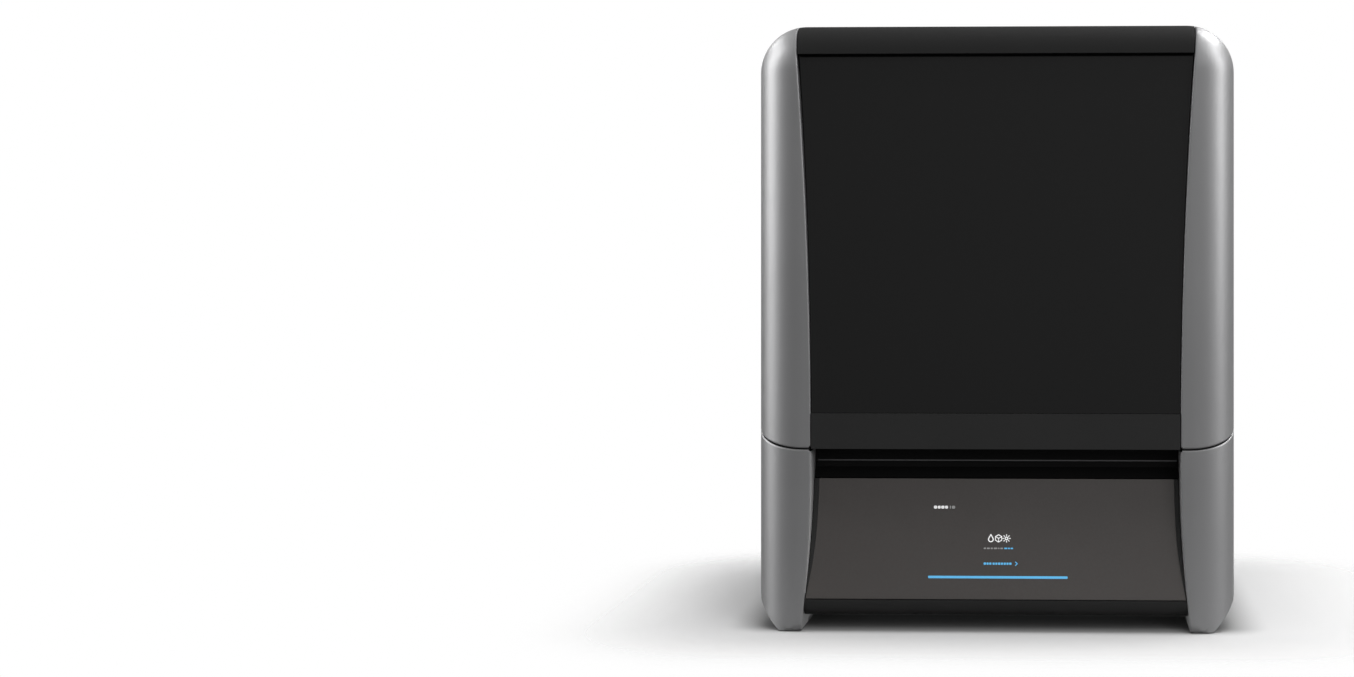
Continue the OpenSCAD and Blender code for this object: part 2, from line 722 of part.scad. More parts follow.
module carriage_plate() color("lightgray") difference() {
    box([-column_x, carriage_face_y, carriage_z], [column_x, carriage_face_y + 10, carriage_z + carriage_h]);
    for (x = [-60, -48, 48, 60], z = [9, 23, 47, 61])
        translate([x * 0.9, carriage_face_y, carriage_z + z]) rotate([90, 0, 0]) cylinder(30, r = 1.7, center = true);
}

module rail_blocks() color("gray") both_sides() for (z = [carriage_z + 2, carriage_z + 38]) difference() {
    box([rail_x - 13.5, carriage_face_y + 10, z], [rail_x + 13.5, rail_back_y - 1.5, z + 30]);
    box([rail_x - rail_w / 2 - 0.4, rail_face_y - 0.4, z - 1], [rail_x + rail_w / 2 + 0.4, rail_back_y, z + 31]);
}

module screw_nut() color("goldenrod") difference() {
    union() {
        translate([0, screw_y, carriage_z + 25]) cylinder(35, r = 14);
        box([-12, carriage_face_y + 10, carriage_z + 30], [12, screw_y - 8, carriage_z + 56]);
    }
    translate([0, screw_y, carriage_z]) cylinder(80, r = screw_r + run_fit);
}

module ball_screw() color("whitesmoke") translate([0, screw_y, 0]) {
    cylinder_span(deck_z + 8, 436.5, screw_r);
    cylinder_span(126, deck_z + 8, 9.5);
    cylinder_span(113, 126, 4);
}
module cylinder_span(z_low, z_high, r) translate([0, 0, z_low]) cylinder(z_high - z_low, r = r);

// Cross-section of the dovetail, grown by gap
module dovetail(gap) polygon([[-10 - gap, dovetail_z - 2], [10 + gap, dovetail_z - 2],
    [10 + gap, dovetail_z], [15 + gap, dovetail_z + dovetail_h + gap],
    [-15 - gap, dovetail_z + dovetail_h + gap], [-10 - gap, dovetail_z]]);

module lift_arm() color("silver") {
    block_low = dovetail_z - 1;
    difference() {
        union() {
            box([-32, -72, arm_low_z + 15], [32, carriage_face_y, arm_top_z]);
            box([-32, -72, block_low], [32, 10, arm_top_z]);
        }
        translate([0, light_y, 0]) along_y(far) dovetail(0.35);
        translate([0, lever_y, arm_low_z]) cylinder(40, r = 4 + run_fit);
        translate([0, 42, arm_top_z]) cylinder(40, r = 14, center = true);
    }
    both_sides() translate([29, 0, 0]) along_x(6) polygon([[8, arm_low_z], [8, arm_top_z],
        [carriage_face_y, arm_top_z], [carriage_face_y, carriage_z + 8], [70, carriage_z + 8],
        [70, arm_low_z]]);
}

module clamp_lever() color([0.1, 0.1, 0.1]) translate([0, lever_y, 0]) {
    cylinder_span(dovetail_z + dovetail_h + 0.8, arm_top_z + 1, 4);
    cylinder_span(arm_top_z + 0.4, arm_top_z + 12, 12);
    box([-6, -66, arm_top_z + 5], [6, 0, arm_top_z + 12]);
    translate([0, -66, arm_top_z + 5]) cylinder(7, r = 6);
}

module platform_plate() color("lightgray") translate([0, light_y, 0]) {
    difference() {
        translate([0, 0, platform_z + 4]) cube([platform_w, platform_d, 8], center = true);
        for (x = [-1, 1], y = [-1, 1]) translate([x * (platform_w / 2 - 8), y * (platform_d / 2 - 8), platform_z - 1])
            cylinder(20, r = 2.2);
    }
    difference() {
        translate([0, 0, platform_z + 14.5]) cube([platform_w - 30, platform_d - 30, 13], center = true);
        for (x = [-1, 1]) translate([x * 50, 0, platform_z + 21]) cube([50, platform_d - 46, 18], center = true);
    }
}

module platform_mount() color("gray") {
    translate([0, light_y, 0]) {
        difference() {
            translate([0, 0, platform_z + 24]) cube([70, 70, 6], center = true);
            for (x = [-28, 28], y = [-28, 28]) translate([x, y, platform_z + 18]) cylinder(12, r = 2.6);
        }
        cylinder_span(platform_z + 27, dovetail_z - 1.5, 16);
    }
    translate([0, light_y - 1, 0]) along_y(74) dovetail(0);
}

module levelling_screws() color("silver") for (x = [-28, 28], y = [-28, 28])
    translate([x, light_y + y, platform_z + 27]) socket_screw(2.5, 4.5, 4, 6);

// ---------- Vat ----------

// Box with four round upright corners, centred on the screen
module round_box(w, d, r, z_low, z_high) translate([0, light_y, z_low]) {
    h = z_high - z_low;
    translate([0, 0, h / 2]) cube([w - 2 * r, d, h], center = true);
    for (side = [-1, 1]) translate([side * (w / 2 - r / 2), 0, h / 2]) cube([r, d - 2 * r, h], center = true);
    for (fx = [0, 1], fy = [0, 1]) mirror([fx, 0, 0]) mirror([0, fy, 0])
        translate([w / 2 - r, d / 2 - r, 0]) linear_extrude(h) quarter_disc(r);
}

module vat_frame() color("darkgray") {
    ring_w = vat_w - 20;
    ring_d = vat_d - 20;
    difference() {
        round_box(vat_w, vat_d, 14, vat_low_z, vat_top_z);
        round_box(vat_w - 2 * vat_wall, vat_d - 2 * vat_wall, 10, film_z + 3, vat_top_z + 1);
        round_box(vat_w - 44, vat_d - 44, 8, 0, film_z + 4);
        round_box(ring_w, ring_d, 10, 0, film_z + film_t);
    }
    translate([0, light_y - vat_d / 2 - 8, vat_top_z - 10]) difference() {
        cube([110, 17, 8], center = true);
        translate([0, 1, 0]) cube([80, 9, 20], center = true);
    }
}

module vat_film() color("lightyellow") round_box(vat_w - 20.4, vat_d - 20.4, 9.8, film_z, film_z + film_t);

module film_ring() color("gray") difference() {
    round_box(vat_w - 20.4, vat_d - 20.4, 9.8, vat_low_z, film_z);
    round_box(vat_w - 44, vat_d - 44, 8, 0, far);
}

module vat_knob() color([0.1, 0.1, 0.1]) translate([knob_x, light_y, 0]) difference() {
    union() {
        translate([-3, 0, deck_z + 0.4]) cylinder(12, r = 11);
        translate([0, 0, deck_z + 12.4]) cylinder(12, r = 12.5);
        translate([0, 0, deck_z + 26]) cube([6, 24, 6], center = true);
    }
    translate([0, 0, deck_z]) cylinder(20, r = 3 + run_fit);
}
module vat_knob_right() vat_knob();
module vat_knob_left() mirror([1, 0, 0]) vat_knob();

base_pan();
lower_cheek_left();
lower_cheek_right();
front_fascia();
touch_glass();
display_module();
display_board();
recess_liner();
deck_plate();
seal_frame();
hood_seal();
lcd_frame();
lcd_panel();
light_box();
lens_array();
led_board();
heat_sink();
engine_fan_frame();
mainboard();
power_supply();
rear_panel();
power_inlet();
io_ports();
foot_pads();
z_column();
linear_rails();
screw_bearings();
z_motor();
limit_sensor();
tower_cover();
hinge_brackets();
rear_fan_frame();
carbon_filter();
case_screws();
hood_cheek_left();
hood_cheek_right();
hood_top_cover();
hood_front_band();
hood_window();
window_frame();
hood_liner();
hinge_arms();
hinge_pins();
carriage_plate();
rail_blocks();
screw_nut();
lift_arm();
ball_screw();
platform_plate();
platform_mount();
levelling_screws();
clamp_lever();
vat_frame();
vat_film();
film_ring();
vat_knob_left();
vat_knob_right();
engine_fan_rotor();
rear_fan_rotor();
power_rocker();
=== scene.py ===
"""Looks of the desktop resin printer: camera, light, materials and fine pieces."""
import json
import math

import bmesh
import bpy
from mathutils import Matrix, Vector


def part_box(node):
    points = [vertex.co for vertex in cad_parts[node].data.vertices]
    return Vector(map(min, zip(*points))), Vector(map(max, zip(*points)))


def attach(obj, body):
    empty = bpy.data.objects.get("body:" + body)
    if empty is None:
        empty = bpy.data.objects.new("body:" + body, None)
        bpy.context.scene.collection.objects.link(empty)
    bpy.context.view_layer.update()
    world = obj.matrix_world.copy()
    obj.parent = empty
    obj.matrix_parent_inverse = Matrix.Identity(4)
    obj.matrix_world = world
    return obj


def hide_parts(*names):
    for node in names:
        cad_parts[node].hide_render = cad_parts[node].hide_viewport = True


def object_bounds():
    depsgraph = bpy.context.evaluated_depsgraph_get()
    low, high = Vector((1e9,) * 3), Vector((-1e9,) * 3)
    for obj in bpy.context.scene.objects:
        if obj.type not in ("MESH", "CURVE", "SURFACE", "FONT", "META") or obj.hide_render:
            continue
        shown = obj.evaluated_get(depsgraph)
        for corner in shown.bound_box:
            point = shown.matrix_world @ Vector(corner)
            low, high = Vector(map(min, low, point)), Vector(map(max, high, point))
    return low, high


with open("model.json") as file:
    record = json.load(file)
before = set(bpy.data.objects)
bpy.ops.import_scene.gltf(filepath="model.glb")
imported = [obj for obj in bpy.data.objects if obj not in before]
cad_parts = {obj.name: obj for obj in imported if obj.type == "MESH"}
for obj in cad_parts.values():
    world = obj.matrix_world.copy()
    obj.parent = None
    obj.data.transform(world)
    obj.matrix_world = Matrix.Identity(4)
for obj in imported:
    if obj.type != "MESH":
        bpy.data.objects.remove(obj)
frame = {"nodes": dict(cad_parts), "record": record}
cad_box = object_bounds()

MM = 0.001
NODES = frame["nodes"]
LOW, HIGH = cad_box
FRONT_Y = LOW.y

# ---------- Camera ----------

EYE_HEIGHT = 0.322          # no pitch: the machine's uprights stay parallel
CAMERA_DISTANCE = 1.90
CAMERA_YAW = math.radians(2.0)
LENS = 57.8
MACHINE_OFFSET = 0.2349     # how far right of the middle the machine stands, in picture widths
EYE_OFFSET = 0.0542         # how far above the middle the eye level is, in picture widths


def make_camera():
    data = bpy.data.cameras.new("camera")
    data.lens = LENS
    data.sensor_width = 36
    data.shift_x = -MACHINE_OFFSET
    data.shift_y = -EYE_OFFSET
    camera = bpy.data.objects.new("camera", data)
    camera.location = (CAMERA_DISTANCE * math.sin(CAMERA_YAW),
                       FRONT_Y - CAMERA_DISTANCE * math.cos(CAMERA_YAW), EYE_HEIGHT)
    camera.rotation_euler = (math.pi / 2, 0, CAMERA_YAW)
    bpy.context.scene.collection.objects.link(camera)
    bpy.context.scene.camera = camera


# ---------- Shader nodes ----------

def ramp(nodes, links, source, low, high, at_low=0, at_high=1, shape="LINEAR"):
    """Maps the values from low to high onto at_low to at_high."""
    span = nodes.new("ShaderNodeMapRange")
    span.interpolation_type = shape
    ends = {"From Min": low, "From Max": high, "To Min": at_low, "To Max": at_high}
    for socket, value in ends.items():
        span.inputs[socket].default_value = value
    links.new(source, span.inputs["Value"])
    return span.outputs["Result"]


def maths(nodes, links, operation, a, b):
    """One value from two sockets."""
    node = nodes.new("ShaderNodeMath")
    node.operation = operation
    links.new(a, node.inputs[0])
    links.new(b, node.inputs[1])
    return node.outputs[0]


def vector_maths(nodes, links, operation, source, other=None):
    """One vector node; other is a constant vector."""
    node = nodes.new("ShaderNodeVectorMath")
    node.operation = operation
    links.new(source, node.inputs[0])
    if other is not None:
        node.inputs[1].default_value = other
    return node.outputs["Value" if operation == "LENGTH" else "Vector"]


def outside_box(nodes, links, away, half_x, half_y):
    """How far a point of the floor lies outside a box; away is how far it is from the middle."""
    beyond = vector_maths(nodes, links, "SUBTRACT", away, (half_x, half_y, 0))
    beyond = vector_maths(nodes, links, "MAXIMUM", beyond, (0, 0, 0))
    return vector_maths(nodes, links, "LENGTH", beyond)


# ---------- Light and stage ----------

def add_softbox(name, place, target, size, power, lights="diffuse glossy"):
    """A rectangular light. It can light matt surfaces only, or show in glossy ones only."""
    data = bpy.data.lights.new(name, "AREA")
    data.shape = "RECTANGLE"
    data.size, data.size_y = size
    data.energy = power
    light = bpy.data.objects.new(name, data)
    light.location = place
    light.rotation_euler = (Vector(target) - Vector(place)).to_track_quat("-Z", "Y").to_euler()
    light.visible_diffuse = "diffuse" in lights
    light.visible_glossy = "glossy" in lights
    bpy.context.scene.collection.objects.link(light)
    return light


def make_lights():
    """Tall reflectors at the sides, two behind for the roof's round corners, and soft light."""
    middle = (0, 0, 0.3)
    add_softbox("softbox_left", (-2.05, 0.0, 1.25), middle, (1.05, 1.9), 30, "glossy")
    add_softbox("softbox_left_low", (-2.05, 0.0, 0.9), middle, (1.05, 2.4), 23, "glossy")
    add_softbox("softbox_right", (2.0, -0.2, 1.25), middle, (0.8, 1.9), 33, "glossy")
    add_softbox("softbox_right_low", (2.0, -0.2, 0.9), middle, (0.8, 2.4), 4, "glossy")
    add_softbox("corner_left", (-1.75, 1.35, 1.95), middle, (0.7, 0.7), 13, "glossy")
    add_softbox("corner_right", (1.4, 1.15, 2.35), middle, (1.0, 0.6), 45, "glossy")
    add_softbox("softbox_top", (0.35, -0.1, 2.5), (0, 0, 0), (2.2, 1.8), 38, "diffuse")
    add_softbox("fill_front", (0.6, -2.4, 1.2), middle, (1.8, 1.4), 26, "diffuse")
    bpy.context.scene.view_settings.view_transform = "Standard"


def make_world():
    """White to the camera, and a dim room to all that it lights, brighter above and to the right."""
    world = bpy.data.worlds.new("room")
    bpy.context.scene.world = world
    world.use_nodes = True
    nodes, links = world.node_tree.nodes, world.node_tree.links
    nodes.clear()
    output = nodes.new("ShaderNodeOutputWorld")
    mix = nodes.new("ShaderNodeMixShader")
    path = nodes.new("ShaderNodeLightPath")
    room = nodes.new("ShaderNodeBackground")
    direction = nodes.new("ShaderNodeTexCoord")
    split = nodes.new("ShaderNodeSeparateXYZ")
    links.new(direction.outputs["Generated"], split.inputs[0])
    brightness = ramp(nodes, links, split.outputs["Z"], -0.1, 0.35, 0.27, 0.4)
    for factor in (ramp(nodes, links, split.outputs["Z"], -0.6, -0.35),             # dark below the table
                   ramp(nodes, links, split.outputs["X"], -0.3, 0.3, 0.93, 1.5),
                   ramp(nodes, links, path.outputs["Is Diffuse Ray"], 0, 1, 1, 0.75)):
        brightness = maths(nodes, links, "MULTIPLY", brightness, factor)
    links.new(brightness, room.inputs["Strength"])
    backdrop = nodes.new("ShaderNodeBackground")
    backdrop.inputs["Color"].default_value = (1, 1, 1, 1)
    links.new(path.outputs["Is Camera Ray"], mix.inputs["Fac"])
    links.new(room.outputs[0], mix.inputs[1])
    links.new(backdrop.outputs[0], mix.inputs[2])
    links.new(mix.outputs[0], output.inputs["Surface"])


# The floor's colour is darkened under and just beside the base: a painted shadow.
FLOOR_RADIUS = 6.0
FADE_START = 0.025           # how far inside the footprint the floor begins to fade
FADE_WIDTH = 0.24
PAINTED_SHADE_BOX = (0.195, 0.158)   # half sizes of the painted shadow under the base
PAINTED_SHADE_EDGE = 0.05
PAINTED_SHADE_DARK, PAINTED_SHADE_PALE = 0.38, 0.93


def make_floor():
    """Round pale floor with a painted shadow under the base; it fades into the backdrop away from the
    machine.
    """
    mesh = bpy.data.meshes.new("floor")
    form = bmesh.new()
    bmesh.ops.create_circle(form, cap_ends=True, segments=96, radius=FLOOR_RADIUS)
    form.to_mesh(mesh)
    form.free()
    floor = bpy.data.objects.new("floor", mesh)
    bpy.context.scene.collection.objects.link(floor)
    material = bpy.data.materials.new("floor_white")
    material.use_nodes = True
    nodes, links = material.node_tree.nodes, material.node_tree.links
    nodes.clear()
    output = nodes.new("ShaderNodeOutputMaterial")
    mix = nodes.new("ShaderNodeMixShader")
    paint = nodes.new("ShaderNodeBsdfDiffuse")
    clear = nodes.new("ShaderNodeBsdfTransparent")
    coords = nodes.new("ShaderNodeTexCoord")
    away = vector_maths(nodes, links, "ABSOLUTE", coords.outputs["Object"])
    reach = outside_box(nodes, links, away, HIGH.x, HIGH.y - FADE_START)
    fade = ramp(nodes, links, reach, 0, FADE_WIDTH, shape="SMOOTHERSTEP")
    # painted shadow: the floor's colour goes from dark under the base to pale a little beyond it
    gap = outside_box(nodes, links, away, *PAINTED_SHADE_BOX)
    painted_shade = ramp(nodes, links, gap, 0, PAINTED_SHADE_EDGE, PAINTED_SHADE_DARK, PAINTED_SHADE_PALE, "SMOOTHSTEP")
    links.new(painted_shade, paint.inputs["Color"])
    side = nodes.new("ShaderNodeNewGeometry")        # nothing of the floor shows from below it
    links.new(maths(nodes, links, "MAXIMUM", side.outputs["Backfacing"], fade), mix.inputs["Fac"])
    links.new(paint.outputs[0], mix.inputs[1])
    links.new(clear.outputs[0], mix.inputs[2])
    links.new(mix.outputs[0], output.inputs["Surface"])
    mesh.materials.append(material)
    floor.visible_glossy = False


# ---------- Materials ----------

PLASTIC_IOR = 1.5
BROAD_SCALE = 14             # noise features per metre, for the slow change of colour


def noise(nodes, links, source, scale, detail=2.0, stretch=None):
    """Noise in the piece's own coordinates, scale per metre, stretched by a vector if given."""
    if stretch:
        mapping = nodes.new("ShaderNodeMapping")
        mapping.inputs["Scale"].default_value = stretch
        links.new(source, mapping.inputs["Vector"])
        source = mapping.outputs["Vector"]
    texture = nodes.new("ShaderNodeTexNoise")
    texture.inputs["Scale"].default_value = scale
    texture.inputs["Detail"].default_value = detail
    links.new(source, texture.inputs["Vector"])
    return texture.outputs["Fac"]


def spread(nodes, links, fac, low, high):
    """Turns noise round 0.5 into values from low to high."""
    return ramp(nodes, links, fac, 0.3, 0.7, low, high)


def surface(name, colour, roughness, metallic=0.0, grain=900, bump=0.05, mottle=0.06, coat=0.0,
            coat_roughness=0.1, stretch=None, specular=0.5):
    """A moulded, painted or machined surface: colour mottle, uneven roughness and a fine bump."""
    material = bpy.data.materials.new(name)
    material.use_nodes = True
    nodes, links = material.node_tree.nodes, material.node_tree.links
    shader = nodes["Principled BSDF"]
    shader.inputs["Metallic"].default_value = metallic
    shader.inputs["Coat Weight"].default_value = coat
    shader.inputs["Coat Roughness"].default_value = coat_roughness
    shader.inputs["IOR"].default_value = PLASTIC_IOR
    shader.inputs["Specular IOR Level"].default_value = specular
    source = nodes.new("ShaderNodeTexCoord").outputs["Object"]
    broad = noise(nodes, links, source, BROAD_SCALE, 3.0)
    fine = noise(nodes, links, source, grain, 3.0, stretch)
    blend = nodes.new("ShaderNodeMix")
    blend.data_type = "RGBA"
    blend.inputs["A"].default_value = (*[c * (1 - mottle) for c in colour], 1)
    blend.inputs["B"].default_value = (*[min(c * (1 + mottle), 1) for c in colour], 1)
    both = maths(nodes, links, "ADD", broad, fine)
    links.new(ramp(nodes, links, both, 0.6, 1.4), blend.inputs["Factor"])
    links.new(blend.outputs["Result"], shader.inputs["Base Color"])
    links.new(spread(nodes, links, fine, roughness * 0.85, min(roughness * 1.15, 1)),
              shader.inputs["Roughness"])
    if bump:
        relief = nodes.new("ShaderNodeBump")
        relief.inputs["Strength"].default_value = bump
        relief.inputs["Distance"].default_value = 0.2 * MM
        links.new(fine, relief.inputs["Height"])
        links.new(relief.outputs["Normal"], shader.inputs["Normal"])
    return material


def glowing(name, colour, strength):
    """A lit mark on the screen."""
    material = surface(name, colour, 0.4, bump=0)
    shader = material.node_tree.nodes["Principled BSDF"]
    shader.inputs["Emission Color"].default_value = (*colour, 1)
    shader.inputs["Emission Strength"].default_value = strength
    return material


LOOKS = {                    # colour, roughness, and what differs from the plain finish
    "cheek_silver": ((0.285, 0.285, 0.29), 0.47, dict(metallic=0.5, grain=2600, bump=0.06,
                                                      mottle=0.05, coat=0.25, coat_roughness=0.34)),
    # a paler copy of the silver for the walls beside the panel: painted light
    "cheek_inner_painted_light": ((0.72, 0.72, 0.725), 0.6, dict(metallic=0.1, grain=2600, bump=0.06, mottle=0.05)),
    "deck_steel": ((0.2, 0.2, 0.205), 0.45, dict(metallic=1.0, grain=600, bump=0.04, mottle=0.12)),
    "cover_black": ((0.012, 0.012, 0.012), 0.5, dict(grain=1800, specular=0.22)),
    # the roof's black, a little lighter than the plain black: painted light; its weaker gloss is its own
    "roof_black_painted_light": ((0.0155, 0.0155, 0.0155), 0.8, dict(grain=1800, specular=0.08)),
    # a lighter copy of the black for the front band and fascia: painted light; it also makes the seam's
    # joint faces black, painted shade
    "black_painted_light_and_seam_shade": ((0.025, 0.025, 0.025), 0.5, dict(grain=1800, specular=0.22)),
    "window_dark": ((0.005, 0.005, 0.005), 0.12, dict(grain=300, bump=0.0, coat=0.2, specular=0.35,
                                                      coat_roughness=0.03)),
    "panel_glass": ((0.067, 0.0612, 0.0585), 0.2, dict(grain=500, bump=0.0, coat=0.15, specular=0.3,
                                                       coat_roughness=0.05)),
    "inner_black": ((0.006, 0.006, 0.006), 0.6, dict(grain=1500, bump=0.12, specular=0.15)),
    "seal_rubber": ((0.012, 0.012, 0.012), 0.85, dict(grain=1200, bump=0.15)),
    "chassis_steel": ((0.48, 0.49, 0.5), 0.38, dict(metallic=1.0, grain=600, bump=0.04, mottle=0.12)),
    "panel_steel": ((0.014, 0.014, 0.014), 0.55, dict(grain=2200, bump=0.25)),
    "machined_aluminium": ((0.62, 0.63, 0.64), 0.34, dict(metallic=1.0, grain=420,
                                                          stretch=(0.05, 1, 1))),
    "ground_steel": ((0.6, 0.6, 0.61), 0.18, dict(metallic=1.0, grain=700, bump=0.02)),
    "nut_brass": ((0.62, 0.43, 0.16), 0.28, dict(metallic=1.0, grain=500, bump=0.03)),
    "screen_glass": ((0.01, 0.012, 0.02), 0.08, dict(grain=200, bump=0.0, coat=0.6,
                                                     coat_roughness=0.02)),
    "vat_anodised": ((0.12, 0.125, 0.135), 0.4, dict(metallic=0.9, grain=1500, bump=0.06)),
    "film_clear": ((0.6, 0.62, 0.55), 0.15, dict(grain=150)),
    "board_green": ((0.01, 0.12, 0.05), 0.4, dict(grain=400, bump=0.1, mottle=0.3)),
    "knob_black": ((0.016, 0.016, 0.016), 0.5, dict(grain=1600, bump=0.15)),
    "lens_clear": ((0.7, 0.75, 0.78), 0.08, dict(grain=300, bump=0.02)),
}
GLOWS = {                    # colour and strength
    "screen_blue": ((0.085, 0.35, 0.6), 0.55),
    "screen_white": ((0.75, 0.75, 0.75), 0.4),
    "screen_grey": ((0.3, 0.3, 0.3), 0.15),
}


def make_materials():
    materials = {name: surface(name, colour, roughness, **rest)
                 for name, (colour, roughness, rest) in LOOKS.items()}
    for name, (colour, strength) in GLOWS.items():
        materials[name] = glowing(name, colour, strength)
    return materials


def dress_frame(materials):
    """Gives every CAD node the material of its slot, and four of them another: the deck its own steel,
    the front band and the fascia a lighter black, and the roof a slightly lighter black with less gloss;
    the lighter blacks are painted light.
    """
    for part in frame["record"]["subparts"]:
        node = NODES[part["node"]]
        node.data.materials.clear()
        node.data.materials.append(materials[part["material_slot"]])
    for name, finish in (("hood_front_band", "black_painted_light_and_seam_shade"), ("front_fascia", "black_painted_light_and_seam_shade"),
                         ("deck_plate", "deck_steel"), ("hood_top_cover", "roof_black_painted_light")):
        NODES[name].data.materials[0] = materials[finish]


# ---------- Screen ----------

PANEL_LEAN = math.atan(26 / 103)     # the glass leans back 26 mm over its height
GLASS_FACE_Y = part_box("touch_glass")[0].y
GLASS_FOOT_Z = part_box("touch_glass")[0].z + 3 * MM * math.sin(PANEL_LEAN)
INK = 0.12 * MM
MARKS_X = 2.4 * MM                     # the lit area sits a little to the right of the glass's middle
CREASE = math.radians(33)


def on_glass():
    """Matrix from screen coordinates (x across, y up the glass, z out of it) to the machine's frame."""
    lean = Matrix.Rotation(math.pi / 2 - PANEL_LEAN, 4, "X")
    return Matrix.Translation((MARKS_X, GLASS_FACE_Y, GLASS_FOOT_Z)) @ lean


def rounded_outline(w, h, r, steps=6):
    """Points round a rectangle with rounded corners, centred on the origin."""
    points = []
    for turn in range(4):
        corner = Vector((w / 2 - r, h / 2 - r)) if turn % 2 == 0 else Vector((h / 2 - r, w / 2 - r))
        spin = Matrix.Rotation(turn * math.pi / 2, 2)
        for i in range(steps + 1):
            a = i / steps * math.pi / 2
            points.append(spin @ (corner + r * Vector((math.cos(a), math.sin(a)))))
    return points


def add_piece(name, form, material, body, wound=False):
    """Makes an object of a bmesh, with smooth shading, and lets it ride on a body.

    The faces are turned outwards first, unless they were wound that way."""
    if not wound:
        bmesh.ops.recalc_face_normals(form, faces=form.faces)
    for face in form.faces:
        face.smooth = True
    mesh = bpy.data.meshes.new(name)
    form.to_mesh(mesh)
    form.free()
    mesh.set_sharp_from_angle(angle=CREASE)
    mesh.materials.append(material)
    piece = bpy.data.objects.new(name, mesh)
    bpy.context.scene.collection.objects.link(piece)
    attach(piece, body)
    return piece


def join_rims(form, low, high):
    """Faces between two closed rims of the same count."""
    for i in range(len(low)):
        j = (i + 1) % len(low)
        form.faces.new((low[i], low[j], high[j], high[i]))


def plate(form, points, low, high, place):
    """Adds a flat plate with the given outline, from low to high along its own Z."""
    bottom = [form.verts.new(place @ Vector((p[0], p[1], low))) for p in points]
    top = [form.verts.new(place @ Vector((p[0], p[1], high))) for p in points]
    form.faces.new(list(reversed(bottom)))
    form.faces.new(top)
    join_rims(form, bottom, top)


def ring(form, radius, width, place, steps=40):
    """Adds a flat ring of ink."""
    rims = []
    for r, z in ((radius, 0), (radius, INK), (radius - width, INK), (radius - width, 0)):
        rims.append([form.verts.new(place @ Vector((r * math.cos(a), r * math.sin(a), z)))
                     for a in [2 * math.pi * i / steps for i in range(steps)]])
    for low, high in zip(rims, rims[1:] + rims[:1]):
        join_rims(form, low, high)


def blocks(form, x, y, widths, height, gap, place):
    """A row of small rounded bars on the screen, from x to the right."""
    for w in widths:
        plate(form, rounded_outline(w * MM, height * MM, 0.35 * min(w, height) * MM), 0, INK,
              place @ Matrix.Translation(((x + w / 2) * MM, y * MM, 0)))
        x += w + gap


def stroke(form, a, b, width, place):
    """A straight line with round ends on the screen, between two points in millimetres."""
    a, b = Vector(a) * MM, Vector(b) * MM
    along = b - a
    plate(form, rounded_outline(along.length + width * MM, width * MM, 0.48 * width * MM), 0, INK,
          place @ Matrix.Translation(((a.x + b.x) / 2, (a.y + b.y) / 2, 0))
          @ Matrix.Rotation(math.atan2(along.y, along.x), 4, "Z"))


BARS = {       # piece: left end, height on the glass, widths, bar height and gap in mm, and material
    "screen_bar": (-61.5, 19.3, [122.5], 2.2, 0, "screen_blue"),
    "screen_line": (-12.8, 44.6, [1.9, 2.6, 1.9, 3.0, 1.2, 2.3], 1.3, 0.8, "screen_grey"),
    "screen_line_end": (5.2, 44.6, [2.8, 1.6, 2.2], 1.3, 0.6, "screen_blue"),
    "screen_action": (-12.8, 31.2, [2.1, 1.9, 2.0, 0.01, 2.0, 1.9, 2.2, 1.9, 2.0, 1.9, 2.2], 2.0, 0.45,
                      "screen_blue"),
    "screen_badge": (-57.3, 80.8, [2.9, 2.6, 2.9, 2.6], 2.6, 0.5, "screen_white"),
    "screen_badge_end": (-43.2, 80.8, [1.0, 2.9], 2.6, 0.8, "screen_grey"),
}


def around(x, y, r, degrees):
    """The points at the given angles on a circle."""
    return [Vector((x + r * math.cos(a), y + r * math.sin(a))) for a in map(math.radians, degrees)]


def make_screen(materials):
    """A generic start screen: a drop, a cube and a lamp, rows of plain bars, and a progress bar."""
    glass = on_glass()

    def ink(name, draw, material):
        form = bmesh.new()
        draw(form)
        add_piece(name, form, materials[material], "base")

    def cube(form):
        middle = Vector((0.2, 53.4))
        corner = around(*middle, 3.2, range(30, 390, 60))
        for i in range(6):
            stroke(form, corner[i], corner[(i + 1) % 6], 0.8, glass)
        for i in (0, 2, 4):
            stroke(form, middle, corner[i], 0.7, glass)

    def drop(form):
        x, y = -6.6, 52.5
        points = [(x, y + 4.3)] + around(x, y, 2.1, range(150, 391, 30))
        for a, b in zip(points, points[1:] + points[:1]):
            stroke(form, a, b, 0.95, glass)

    def lamp(form):
        x, y = 7.2, 53.4
        ring(form, 1.7 * MM, 1.0 * MM, glass @ Matrix.Translation((x * MM, y * MM, 0)))
        turns = range(0, 360, 45)
        for a, b in zip(around(x, y, 2.5, turns), around(x, y, 3.3, turns)):
            stroke(form, a, b, 0.85, glass)

    def arrow(form):
        for side in (-1, 1):
            stroke(form, (15.2, 31.2 + side * 1.5), (16.8, 31.2), 0.8, glass)

    def bars(name):
        x, y, widths, height, gap, material = BARS[name]
        ink(name, lambda form: blocks(form, x, y, widths, height, gap, glass), material)

    bars("screen_bar")
    ink("screen_cube", cube, "screen_white")
    ink("screen_drop", drop, "screen_white")
    ink("screen_lamp", lamp, "screen_white")
    for name in ("screen_line", "screen_line_end", "screen_action", "screen_badge", "screen_badge_end"):
        bars(name)
    ink("screen_arrow", arrow, "screen_blue")


# ---------- Machined, moulded and turned pieces ----------

def turned(form, levels, place, steps=32):
    """Turns (radius, height) levels round Z. A radius may be a function of the angle."""
    angles = [2 * math.pi * i / steps for i in range(steps)]
    rims = []
    for radius, z in levels:
        rim = []
        for a in angles:
            r = radius(a) if callable(radius) else radius
            rim.append(form.verts.new(place @ Vector((r * math.cos(a), r * math.sin(a), z))))
        rims.append(rim)
    for low, high in zip(rims, rims[1:]):
        join_rims(form, low, high)
    form.faces.new(list(reversed(rims[0])))
    form.faces.new(rims[-1])


